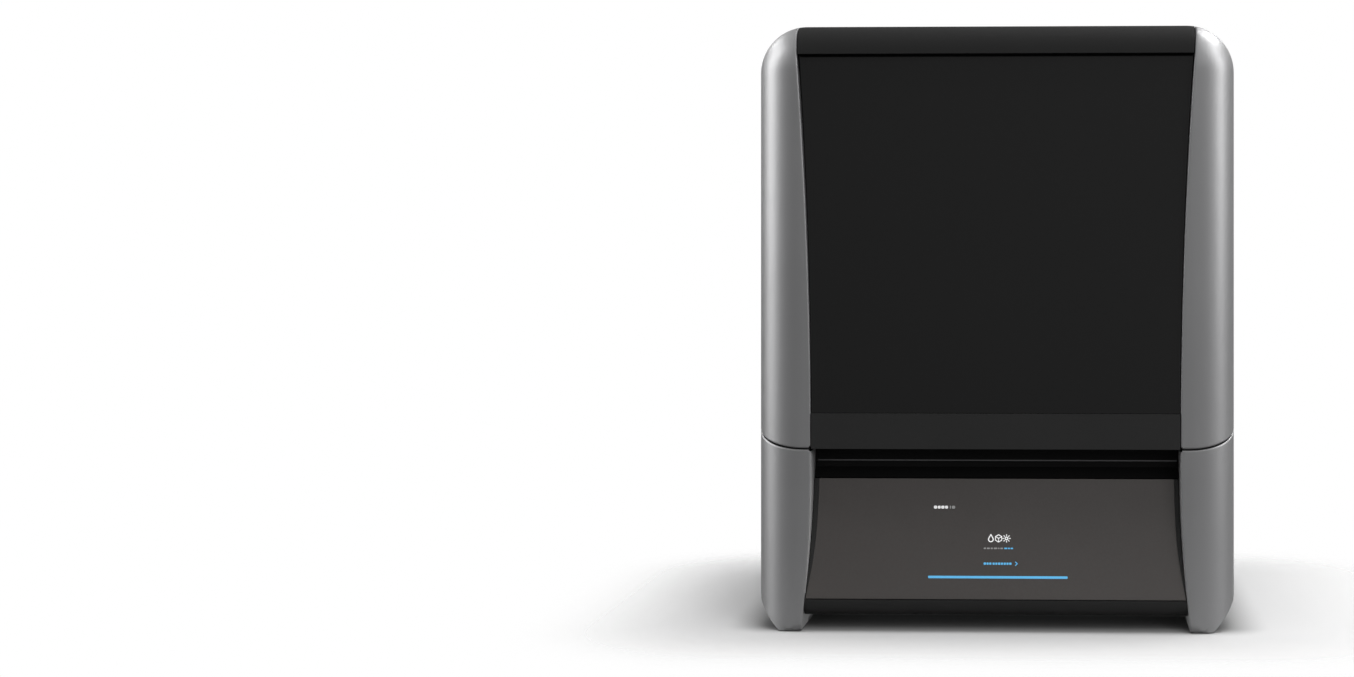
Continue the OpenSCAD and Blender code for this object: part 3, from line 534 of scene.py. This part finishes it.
def in_metres(profile):
    """(radius, height) levels from millimetres to metres."""
    return [(r * MM, z * MM) for r, z in profile]


def facing(point, axis):
    """Matrix that puts the origin at a point and turns +Z along an axis."""
    return Matrix.Translation(point) @ Vector(axis).to_track_quat("Z", "Y").to_matrix().to_4x4()


def socket_head(form, place, radius, height):
    """Screw head with a rounded rim and a six-sided socket."""
    def hexagon(a):
        return radius * 0.5 / math.cos((a + math.pi / 6) % (math.pi / 3) - math.pi / 6)
    turned(form, [(radius, 0), (radius, height * 0.75), (radius * 0.95, height * 0.93),
                  (radius * 0.84, height), (hexagon, height), (hexagon, height * 0.4)], place, 24)


def screws(name, points, axis, radius, height, body, material):
    """Screw heads at points, standing along an axis; radius and height in millimetres."""
    form = bmesh.new()
    for point in points:
        socket_head(form, facing(point, axis), radius * MM, height * MM)
    add_piece(name, form, material, body)


def make_screws(materials):
    """Screw heads of the rails, the carriage, the film ring, the tower's cover and the base pan."""
    steel, sides = materials["ground_steel"], (-1, 1)
    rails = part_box("linear_rails")[0]
    spots = [(side * 54 * MM, rails.y + 3 * MM, z * MM) for side in sides for z in range(170, 420, 40)]
    screws("rail_screws", spots, (0, -1, 0), 2.7, 2.5, "base", steel)
    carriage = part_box("carriage_plate")[0]
    spots = [(x * MM, carriage.y, carriage.z + z * MM)
             for x in (-54, -43.2, 43.2, 54) for z in (9, 23, 47, 61)]
    screws("carriage_screws", spots, (0, -1, 0), 2.9, 2.6, "lift", steel)
    vat_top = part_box("vat_frame")[1].z
    low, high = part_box("film_ring")
    middle_y = (low.y + high.y) / 2
    spots = [(side * 120.5 * MM, middle_y + y * MM, vat_top)
             for side in sides for y in (-62, -21, 21, 62)]
    spots += [(x * MM, middle_y + side * 85.5 * MM, vat_top)
              for side in sides for x in (-92, -46, 0, 46, 92)]
    screws("vat_screws", spots, (0, 0, 1), 2.4, 0.9, "vat", steel)
    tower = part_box("tower_cover")[0]
    spots = [(side * x * MM, tower.y, z * MM)
             for side in sides for x in (80, 148) for z in (166, 272, 432)]
    screws("tower_screws", spots, (0, -1, 0), 2.6, 1.4, "base", materials["knob_black"])
    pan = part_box("base_pan")[0]
    spots = [(side * 146 * MM, y * MM, pan.z) for side in sides for y in (-135, -40, 60, 165)]
    screws("pan_screws", spots, (0, 0, -1), 3.2, 1.4, "base", steel)


def make_ball_screw(materials):
    """Screw with a round groove, one turn every 10 mm, and turned journals."""
    low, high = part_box("ball_screw")
    place = Matrix.Translation(((low.x + high.x) / 2, (low.y + high.y) / 2, 0))
    lead, step, radius, depth = 10 * MM, 0.8 * MM, 6 * MM, 0.85 * MM
    thread_low = low.z + 45 * MM

    def groove(z):
        return lambda a: radius - depth * max(0, math.cos(2 * math.pi * z / lead - a)) ** 0.6

    form = bmesh.new()
    journal = in_metres([(3.6, 0), (4, 0.5), (4, 13), (9, 13), (9.5, 13.6), (9.5, 44.4), (9, 45)])
    levels = [(r, low.z + z) for r, z in journal] + [(radius, thread_low + 0.1 * MM)]
    count = int((high.z - 4 * MM - thread_low) / step)
    levels += [(groove(thread_low + i * step), thread_low + 0.6 * MM + i * step) for i in range(count)]
    levels += [(radius, high.z - 2 * MM), (radius, high.z - 0.6 * MM), (radius - 0.6 * MM, high.z)]
    turned(form, levels, place, 28)
    piece = add_piece("screw_thread", form, materials["ground_steel"], "screw")
    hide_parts("ball_screw")


def make_fan(name, node, body, axis, materials):
    """Hub and seven swept, twisted blades, within the plain rotor's space."""
    low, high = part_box(node)
    middle = (low + high) / 2
    size = high - low
    depth = size[axis]
    tip = (max(size[k] for k in range(3) if k != axis)) / 2 - 0.3 * MM
    hub = tip * 0.43
    way = (0, 0, 1) if axis == 2 else (0, -1, 0)
    place = facing(middle, way)
    form = bmesh.new()
    half = depth / 2
    turned(form, [(hub - 0.8 * MM, -half), (hub, 0.8 * MM - half), (hub, half - 1.5 * MM),
                  (hub - 0.5 * MM, half - 0.5 * MM), (hub - 1.6 * MM, half), (hub * 0.3, half),
                  (hub * 0.3, half - 0.5 * MM)], place, 40)
    rows, columns, thick = 7, 8, 0.6 * MM
    for blade in range(7):
        sides = []
        for face in (-1, 1):
            grid = []
            for i in range(rows):
                out = i / (rows - 1)
                r = hub - 0.4 * MM + (tip - hub + 0.4 * MM) * out
                chord = math.radians(44 - 10 * out)
                line = []
                for j in range(columns):
                    t = j / (columns - 1) - 0.5
                    a = blade * 2 * math.pi / 7 + math.radians(26) * out ** 1.3 + chord * t
                    pitch = -t * depth * (0.86 - 0.3 * out)
                    camber = 0.12 * depth * (1 - 4 * t * t)
                    skin = face * thick * (1 - 1.6 * t * t)
                    point = Vector((r * math.cos(a), r * math.sin(a), (pitch + camber + skin) * 0.86))
                    line.append(form.verts.new(place @ point))
                grid.append(line)
            sides.append(grid)
        under, over = sides
        for i in range(rows - 1):
            for j in range(columns - 1):
                form.faces.new((over[i][j], over[i][j + 1], over[i + 1][j + 1], over[i + 1][j]))
                form.faces.new((under[i][j], under[i + 1][j], under[i + 1][j + 1], under[i][j + 1]))
        rim = [(i, 0) for i in range(rows)] + [(rows - 1, j) for j in range(1, columns)]
        rim += [(i, columns - 1) for i in range(rows - 2, -1, -1)]
        rim += [(0, j) for j in range(columns - 2, 0, -1)]
        for (i, j), (k, l) in zip(rim, rim[1:] + rim[:1]):
            form.faces.new((under[i][j], under[k][l], over[k][l], over[i][j]))
    piece = add_piece(name, form, materials["knob_black"], body)
    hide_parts(node)


def make_knobs(materials):
    """Vat clamps: an eccentric foot, a knurled grip and a wing."""
    for side, name in ((-1, "left"), (1, "right")):
        low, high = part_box("vat_knob_" + name)
        grip_x = low.x + 12.5 * MM if side < 0 else high.x - 12.5 * MM
        y = (low.y + high.y) / 2
        form = bmesh.new()
        foot = Matrix.Translation((grip_x - side * 3 * MM, y, low.z))
        turned(form, in_metres([(10.3, 0), (11, 0.7), (11, 11.2), (10.5, 12)]), foot, 48)
        grip = Matrix.Translation((grip_x, y, low.z + 12 * MM))

        def knurl(r):
            return lambda a: r * (1 - 0.035 * (1 + math.cos(30 * a)) / 2)
        knurled = in_metres([(11.6, 0), (12.5, 0.9), (12.5, 10.4), (11.7, 11.6)])
        plain = in_metres([(10.6, 12), (9.8, 12), (9.2, 11.3), (4, 11.3)])
        turned(form, [(knurl(r), z) for r, z in knurled] + plain, grip, 150)
        wing = [(2.1, 0, 11.0), (2.6, 0, 11.4), (2.9, 1, 13), (2.6, 1, 15.6), (1.9, 1, 16.4)]
        layers = []
        for half_w, narrow, z in wing:
            outline = rounded_outline(2 * half_w * MM, (22 - narrow) * MM, (half_w - 0.05) * MM, 5)
            layers.append([form.verts.new(grip @ Vector((q.x, q.y, z * MM))) for q in outline])
        for lower, upper in zip(layers, layers[1:]):
            join_rims(form, lower, upper)
        form.faces.new(list(reversed(layers[0])))
        form.faces.new(layers[-1])
        piece = add_piece("clamp_knob_" + name, form, materials["knob_black"], name + "_knob")
        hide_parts("vat_knob_" + name)


def make_feet(materials):
    """Rubber feet with a rounded rim and two rings pressed into the sole."""
    low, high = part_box("foot_pads")
    form = bmesh.new()
    for x in (low.x + 9 * MM, high.x - 9 * MM):
        for y in (low.y + 9 * MM, high.y - 9 * MM):
            turned(form, in_metres([(9, 3), (9, 0.9), (8.7, 0.25), (8.1, 0), (6.6, 0), (6.3, 0.5),
                                    (5.5, 0.5), (5.2, 0), (3.6, 0), (3.3, 0.5), (1.0, 0.5)]),
                   Matrix.Translation((x, y, 0)), 40)
    piece = add_piece("rubber_feet", form, materials["seal_rubber"], "base")
    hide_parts("foot_pads")


def make_seal(materials):
    """Soft D-shaped seal that the hood closes on, along the front and up both sides."""
    low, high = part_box("hood_seal")
    slope = (high.z - low.z - 1.2 * MM) / (high.y - low.y)
    bend = 8 * MM
    x, front = high.x - 2 * MM, low.y + 1.5 * MM
    path = [Vector((-x, high.y - i * (high.y - front - bend) / 12)) for i in range(13)]
    path += [Vector((-x + bend - bend * math.cos(a), front + bend - bend * math.sin(a)))
             for a in [math.pi / 16 * i for i in range(1, 8)]]
    path += [Vector((-x + bend + i * (2 * x - 2 * bend) / 10, front)) for i in range(11)]
    path += [Vector((-q.x, q.y)) for q in reversed(path[:20])]
    form = bmesh.new()
    rims = []
    for i, point in enumerate(path):
        ahead = (path[min(i + 1, len(path) - 1)] - path[max(i - 1, 0)]).normalized()
        side = Vector((ahead.y, -ahead.x))
        base_z = low.z + slope * max(point.y - low.y, 0)
        rim = []
        for k in range(9):
            a = math.pi * k / 8
            q = point + side * 1.45 * MM * math.cos(a)
            rim.append(form.verts.new((q.x, q.y, base_z + (0.1 + 1.05 * math.sin(a)) * MM)))
        rims.append(rim)
    for a, b in zip(rims, rims[1:]):
        join_rims(form, a, b)
    form.faces.new(rims[0])
    form.faces.new(list(reversed(rims[-1])))
    piece = add_piece("soft_seal", form, materials["seal_rubber"], "base")
    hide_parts("hood_seal")


def make_sockets(materials):
    """Metal pins of the mains inlet, and the shells and tongues of the ports beside it."""
    low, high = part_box("power_inlet")
    x, z = (low.x + high.x) / 2, (low.z + high.z) / 2
    form = bmesh.new()
    for dx, z_low in ((-7, -5.2), (0, 1.8), (7, -5.2)):
        outline = rounded_outline(2.4 * MM, 6.4 * MM, 0.5 * MM, 3)
        place = facing((x + dx * MM, low.y + 8 * MM, z + (z_low + 3.2) * MM), (0, 1, 0))
        plate(form, outline, 0, 10.6 * MM, place)
    add_piece("inlet_pins", form, materials["ground_steel"], "base")
    port_z = 48 * MM
    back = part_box("rear_panel")[1].y - 0.35 * MM
    holes = [(-8, 0, 16, 14), (13, -3.5, 14, 5), (13, 4.5, 14, 5), (31, -0.5, 12, 7)]
    form = bmesh.new()
    for cx, cz, w, h in holes:
        place = facing((cx * MM, back - 8 * MM, port_z + cz * MM), (0, 1, 0))
        rims = []
        for inset, depth in ((0.02, 0), (0.02, 8), (0.5, 8), (0.5, 0)):
            outline = rounded_outline((w - 2 * inset) * MM, (h - 2 * inset) * MM, 0.6 * MM, 3)
            rims.append([form.verts.new(place @ Vector((q.x, q.y, depth * MM))) for q in outline])
        for a, b in zip(rims, rims[1:] + rims[:1]):
            join_rims(form, a, b)
    add_piece("port_shells", form, materials["ground_steel"], "base")
    form = bmesh.new()
    for cx, cz in ((13, -2.6), (13, 5.4)):
        plate(form, rounded_outline(11 * MM, 1.7 * MM, 0.3 * MM, 3), 0, 7 * MM,
              facing((cx * MM, back - 8 * MM, port_z + cz * MM), (0, 1, 0)))
    for i in range(8):
        plate(form, rounded_outline(0.5 * MM, 3.6 * MM, 0.1 * MM, 2), 0, 5 * MM,
              facing(((-8 + (i - 3.5) * 1.2) * MM, back - 8 * MM, port_z + 4.6 * MM), (0, 1, 0)))
    add_piece("port_tongues", form, materials["nut_brass"], "base")


# ---------- Cheeks: the silver shells at both sides ----------

HALF_W, HALF_D, ROOF = HIGH.x / MM, HIGH.y / MM, HIGH.z / MM      # the shells are drawn in millimetres
EDGE_R = 42                  # the machine's round outer edges
CORE = Vector((HALF_W - EDGE_R, HALF_D - EDGE_R, ROOF - EDGE_R))
WAIST_X = 162                # half width of the black middle where it is narrowest
WINDOW_TAPER = 9690          # above the seam it widens by the square of the height over this
PANEL_TAPER, PANEL_TOP = 2260, 140        # the same downward, below this height
SEAM_Z, SEAM_SLOPE, SEAM_GAP = 161, 0.39, 1.1
CHEEK_LOW = 1.2
CUT_TOP, CUT_X, CUT_Z, CUT_R = 28, 141.95, 59.03, 75.7       # the round cut along the lower outer edge
SOLE_R = 8                   # the lower edges at the front and the back
LIP = 1.3                    # radius of the shells' rounded lips
PLAIN_START = 1.3 * LIP      # from a lip's edge to the plain surface
RIM_DEPTH = 1.9              # how far the joint faces along the seam reach inward
PANEL_WALL, SHORT_WALL = 50, 15           # depth of the walls beside the panel, and of the others
PAINTED_LIGHT_LOW = 32                # above this height the walls beside the panel get a paler copy of the silver: painted light
SHELL = 0.9
SKIRT_FRONT, SKIRT_BACK = -146, 181
FRONT_COUNT, SIDE_COUNT = 26, 14          # steps of a level cut round a corner, and along the side
HOOD_ROWS, ROOF_ROWS, CUT_ROWS, BASE_ROWS = 44, 18, 12, 22
TO_WINDOW = Vector((-1, 0, 0))
SEAM_UP = Vector((0, -SEAM_SLOPE, 1)).normalized()


def waist(z):
    """Half width of the black middle at a height."""
    if z > SEAM_Z:
        return WAIST_X + (z - SEAM_Z) ** 2 / WINDOW_TAPER
    return WAIST_X + (PANEL_TOP - z) ** 2 / PANEL_TAPER if z < PANEL_TOP else WAIST_X


def seam_at(y):
    """Height of the slanting seam."""
    return SEAM_Z + SEAM_SLOPE * (y + HALF_D)


def side_limit(z):
    """The outer limit of the base at a height, where its lower edge is cut back."""
    return CUT_X + math.sqrt(CUT_R ** 2 - (z - CUT_Z) ** 2) if z < CUT_TOP else HALF_W


def sole_depth(z):
    """Half the base's depth at a height."""
    return HALF_D - SOLE_R + math.sqrt(SOLE_R ** 2 - (SOLE_R - z) ** 2) if z < SOLE_R else HALF_D


def outline(z, phi):
    """Points and normals of a level cut through the right shell, from the front lip round the side to
    the back. phi is how far up the round roof edge the cut is."""
    r = EDGE_R * math.cos(phi)
    limit = min(side_limit(z) - CORE.x, r)
    last = math.asin(limit / r)
    first_x = waist(z) - CORE.x
    first = math.asin(first_x / r) if first_x > 0 else 0
    flat = max(-first_x, 0)
    length = flat + (last - first) * r
    front = []
    for i in range(FRONT_COUNT + 1):
        d = PLAIN_START + (length - PLAIN_START) * i / FRONT_COUNT
        a = first + (d - flat) / r if d > flat else first
        x = CORE.x + r * math.sin(a) if d > flat else waist(z) + d
        n = Vector((math.sin(a) * math.cos(phi), -math.cos(a) * math.cos(phi), math.sin(phi)))
        y = max(-CORE.y - r * math.cos(a), -sole_depth(z))
        front.append((Vector((x, y, z)), n))
    corner, n = front[-1]
    n = Vector((n.x, 0, n.z)).normalized()
    side = [(Vector((corner.x, corner.y * (1 - 2 * i / SIDE_COUNT), z)), n) for i in range(1, SIDE_COUNT)]
    rear = [(Vector((q.x, -q.y, q.z)), Vector((n.x, -n.y, n.z))) for q, n in reversed(front)]
    return front + side + rear


def slanted_cut(cut, height):
    """Moves each point of a cut to the height that the function height gives for it."""
    for _ in range(4):
        levels = [height(q, n) for q, n in cut]
        cut = [outline(z, 0)[k] for k, z in enumerate(levels)]
    return cut


def roof_meets_lip(phi, across):
    """How far up the round edge of the roof the lip beside the window lies, found step by step."""
    for _ in range(40):
        z = CORE.z + EDGE_R * math.sin(phi)
        phi = math.acos(min((waist(z) - CORE.x) / across, 1))
    return phi


def lip_points(edge, n, wall_n, along, depth):
    """The rounded lip between a surface with normal n and a wall with normal wall_n, and the wall's
    far end."""
    centre = edge - LIP * (n + wall_n) / (1 + n.dot(wall_n))
    points = [centre + LIP * (n * (1 - t) + wall_n * t).normalized() for t in (0, 0.25, 0.5, 0.75, 1)]
    return points + [points[-1] + along * depth]


def above_lip(n, seam_n):
    """How far from the seam, measured upright, the plain surface begins beyond the lip."""
    turn = math.acos(max(-1, min(n.dot(seam_n), 1)))
    return LIP * math.tan(turn / 2) * math.sqrt(1 + (SEAM_SLOPE * n.x) ** 2) + 0.6


def bridge(form, a, b):
    """Faces between two rows of vertices; a corner that both rows share is used once."""
    for i in range(len(a) - 1):
        corners = []
        for v in (a[i], a[i + 1], b[i + 1], b[i]):
            if v not in corners:
                corners.append(v)
        if len(corners) > 2:
            form.faces.new(corners)


def cloth(form, cuts):
    """The plain surface through the given cuts, as rows of (vertex, point, normal)."""
    grid = [[(form.verts.new(q), q, n) for q, n in cut] for cut in cuts]
    for a, b in zip(grid, grid[1:]):
        bridge(form, [v for v, q, n in a], [v for v, q, n in b])
    return grid


def inner_lips(form, entries, depth):
    """Adds the rounded lip and the wall behind it along the edges beside the window. entries are
    (vertex, edge point, normal); depth is the front wall's."""
    strips = []
    for vertex, edge, n in entries:
        back = Vector((0, -n.y, -n.z)).normalized()
        points = lip_points(edge, n, TO_WINDOW, back, depth if edge.y < 0 else SHORT_WALL)
        strips.append([vertex] + [form.verts.new(q) for q in points])
    for a, b in zip(strips, strips[1:]):
        bridge(form, b, a)
    return strips


def seam_rim(form, row, seam_n, drop=0):
    """Adds the rounded lip and the joint face that run along the seam."""
    rim = []
    for v, q, n in row:
        edge = Vector((q.x, q.y, seam_at(q.y) - drop))
        flat = (-n + n.dot(seam_n) * seam_n).normalized()
        rim.append([v] + [form.verts.new(p) for p in lip_points(edge, n, seam_n, flat, RIM_DEPTH)])
    return rim


def patch(form, corners, outward):
    """One face that looks outward."""
    face = form.faces.new(corners)
    face.normal_update()
    if face.normal.dot(outward) < 0:
        face.normal_flip()


def corner_patch(form, strip, lip, seam_n, front):
    """Closes the corner where the lip beside the window meets the lip along the seam."""
    patch(form, strip[:-1] + list(reversed(lip[1:-1])), TO_WINDOW + seam_n + Vector((0, front, 0)))


def hood_lip_edge(q, phi):
    """The edge of the hood's lip beside the window, level with the point q."""
    x = waist(q.z)
    if phi > 0:
        r = EDGE_R * math.cos(phi)
        a = math.asin(min((x - CORE.x) / r, 1)) if x > CORE.x else 0
        y = CORE.y + r * math.cos(a)
    elif x > CORE.x:
        y = CORE.y + math.sqrt(EDGE_R ** 2 - (x - CORE.x) ** 2)
    else:
        y = HALF_D
    return Vector((x, math.copysign(y, q.y), q.z))


def base_lip_edge(q):
    """The edge of the base's lip beside the panel, level with the point q."""
    y = sole_depth(q.z)
    if waist(q.z) > CORE.x:
        y = min(y, CORE.y + math.sqrt(EDGE_R ** 2 - (waist(q.z) - CORE.x) ** 2))
    return Vector((waist(q.z), math.copysign(y, q.y), q.z))


def roof_lip_entry(v, q, n, top):
    """Vertex, edge point and normal where the lip crosses the roof above the point q."""
    a = math.atan2(n.x, abs(n.y)) if abs(n.y) > 0.0001 else math.pi / 2
    phi = roof_meets_lip(top, EDGE_R * math.sin(a))
    round_end = abs(q.y) > CORE.y
    y = math.copysign(CORE.y + EDGE_R * math.cos(phi) * math.cos(a), q.y) if round_end else q.y
    edge = Vector((CORE.x + EDGE_R * math.cos(phi) * math.sin(a), y, CORE.z + EDGE_R * math.sin(phi)))
    if round_end:
        return v, edge, Vector((n.x * math.cos(phi), n.y * math.cos(phi), math.sin(phi))).normalized()
    return v, edge, Vector((math.cos(phi), 0, math.sin(phi)))


def hood_cheek(form):
    """Upper shell: from the slanting seam up, and over the round edge of the roof."""
    top = roof_meets_lip(1.4, EDGE_R)
    highest = top - PLAIN_START / EDGE_R
    levels = [(i / HOOD_ROWS, 0) for i in range(HOOD_ROWS)]
    levels += [(1, highest * i / ROOF_ROWS) for i in range(ROOF_ROWS + 1)]
    cuts = []
    for share, phi in levels:
        def height(q, n):
            low = seam_at(q.y) + above_lip(n, -SEAM_UP)
            return low + (CORE.z - low) * share

        cut = outline(CORE.z + EDGE_R * math.sin(phi), phi)
        cuts.append(slanted_cut(cut, height) if share < 1 else cut)
    grid = cloth(form, cuts)
    front = [(*row[0], phi) for row, (_, phi) in zip(grid, levels)]
    back = [(*row[-1], phi) for row, (_, phi) in zip(grid, levels)]
    entries = [(v, hood_lip_edge(q, phi), n) for v, q, n, phi in front]
    entries += [roof_lip_entry(v, q, n, top) for v, q, n in grid[-1][1:-1]]
    entries += [(v, hood_lip_edge(q, phi), n) for v, q, n, phi in reversed(back)]
    inner = inner_lips(form, entries, SHORT_WALL)
    rim = seam_rim(form, grid[0], -SEAM_UP)
    for a, b in zip(rim, rim[1:]):
        bridge(form, a, b)
    corner_patch(form, inner[0], rim[0], -SEAM_UP, -1)
    corner_patch(form, inner[-1], rim[-1], -SEAM_UP, 1)


def lower_cheek(form):
    """Lower shell: from just above the table to the seam, with its lower edges cut back."""
    cuts = [outline(CHEEK_LOW + (CUT_TOP - CHEEK_LOW) * i / CUT_ROWS, 0) for i in range(CUT_ROWS)]
    for i in range(BASE_ROWS + 1):
        def height(q, n):
            top = seam_at(q.y) - SEAM_GAP - above_lip(n, SEAM_UP)
            return CUT_TOP + (top - CUT_TOP) * (i / BASE_ROWS)

        cuts.append(slanted_cut(outline(CUT_TOP, 0), height))
    grid = cloth(form, cuts)
    front, back = [row[0] for row in grid], [row[-1] for row in reversed(grid)]
    first = inner_lips(form, [(v, base_lip_edge(q), n) for v, q, n in front], PANEL_WALL)
    last = inner_lips(form, [(v, base_lip_edge(q), n) for v, q, n in back], SHORT_WALL)
    rim = seam_rim(form, grid[-1], SEAM_UP, SEAM_GAP)
    for a, b in zip(rim, rim[1:]):
        bridge(form, b, a)
    corner_patch(form, first[-1], rim[0], SEAM_UP, -1)
    corner_patch(form, last[0], rim[-1], SEAM_UP, 1)
    ledge = [form.verts.new((WAIST_X + LIP, y, seam_at(y) - SEAM_GAP)) for y in (HALF_D - 2, 2 - HALF_D)]
    patch(form, [strip[-1] for strip in rim] + ledge, SEAM_UP)
    patch(form, [v for v, q, n in grid[0]] + [last[-1][-2], last[-1][-1], first[0][-1], first[0][-2]],
          Vector((0, 0, -1)))
    skirt = []                # a thin plate behind the cut edge
    for z in (CHEEK_LOW, 7, 13, 20):
        near, far = waist(z) + 0.1, waist(z) + 2
        skirt.append([form.verts.new((x, y, z)) for x, y in
                      ((near, SKIRT_FRONT), (near, SKIRT_BACK), (far, SKIRT_BACK), (far, SKIRT_FRONT),
                       (near, SKIRT_FRONT))])
    for a, b in zip(skirt, skirt[1:]):
        bridge(form, b, a)


def make_cheeks(materials):
    """Both shells on both sides, with rounded lips along the seam and beside the window."""
    for name, build, body in (("hood_cheek", hood_cheek, "hood"), ("lower_cheek", lower_cheek, "base")):
        for side, label in ((1, "right"), (-1, "left")):
            form = bmesh.new()
            build(form)
            for v in form.verts:
                v.co = Vector((v.co.x * side, v.co.y, v.co.z)) * MM
            bmesh.ops.remove_doubles(form, verts=form.verts, dist=0.004 * MM)
            bmesh.ops.dissolve_degenerate(form, edges=form.edges, dist=0.004 * MM)
            if side < 0:
                bmesh.ops.reverse_faces(form, faces=form.faces)
            piece = add_piece(name + "_shell_" + label, form, materials["cheek_silver"], body,
                              wound=True)
            piece.data.materials.append(materials["black_painted_light_and_seam_shade"])
            if body == "base":
                piece.data.materials.append(materials["cheek_inner_painted_light"])
            for face in piece.data.polygons:
                x, z = abs(face.center.x) / MM, face.center.z / MM
                # beside_panel picks the walls beside the panel that get the paler silver, painted light
                beside_panel = body == "base" and z > PAINTED_LIGHT_LOW and x < waist(z) + 0.5
                # the faces in the seam gap are painted black: painted shade in the gap
                if abs(face.normal.dot(SEAM_UP)) > 0.999:        # the joint faces along the seam
                    face.material_index = 1
                elif beside_panel and abs(face.normal.x) > 0.98:
                    face.material_index = 2
            wall = piece.modifiers.new("wall", "SOLIDIFY")
            wall.thickness = SHELL * MM
            wall.offset = -1
            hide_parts(name + "_" + label)


make_camera()
make_lights()
make_world()
make_floor()
materials = make_materials()
dress_frame(materials)
make_cheeks(materials)
make_screen(materials)
make_screws(materials)
make_ball_screw(materials)
make_fan("engine_fan_blades", "engine_fan_rotor", "engine_fan", 2, materials)
make_fan("rear_fan_blades", "rear_fan_rotor", "rear_fan", 1, materials)
make_knobs(materials)
make_feet(materials)
make_seal(materials)
make_sockets(materials)
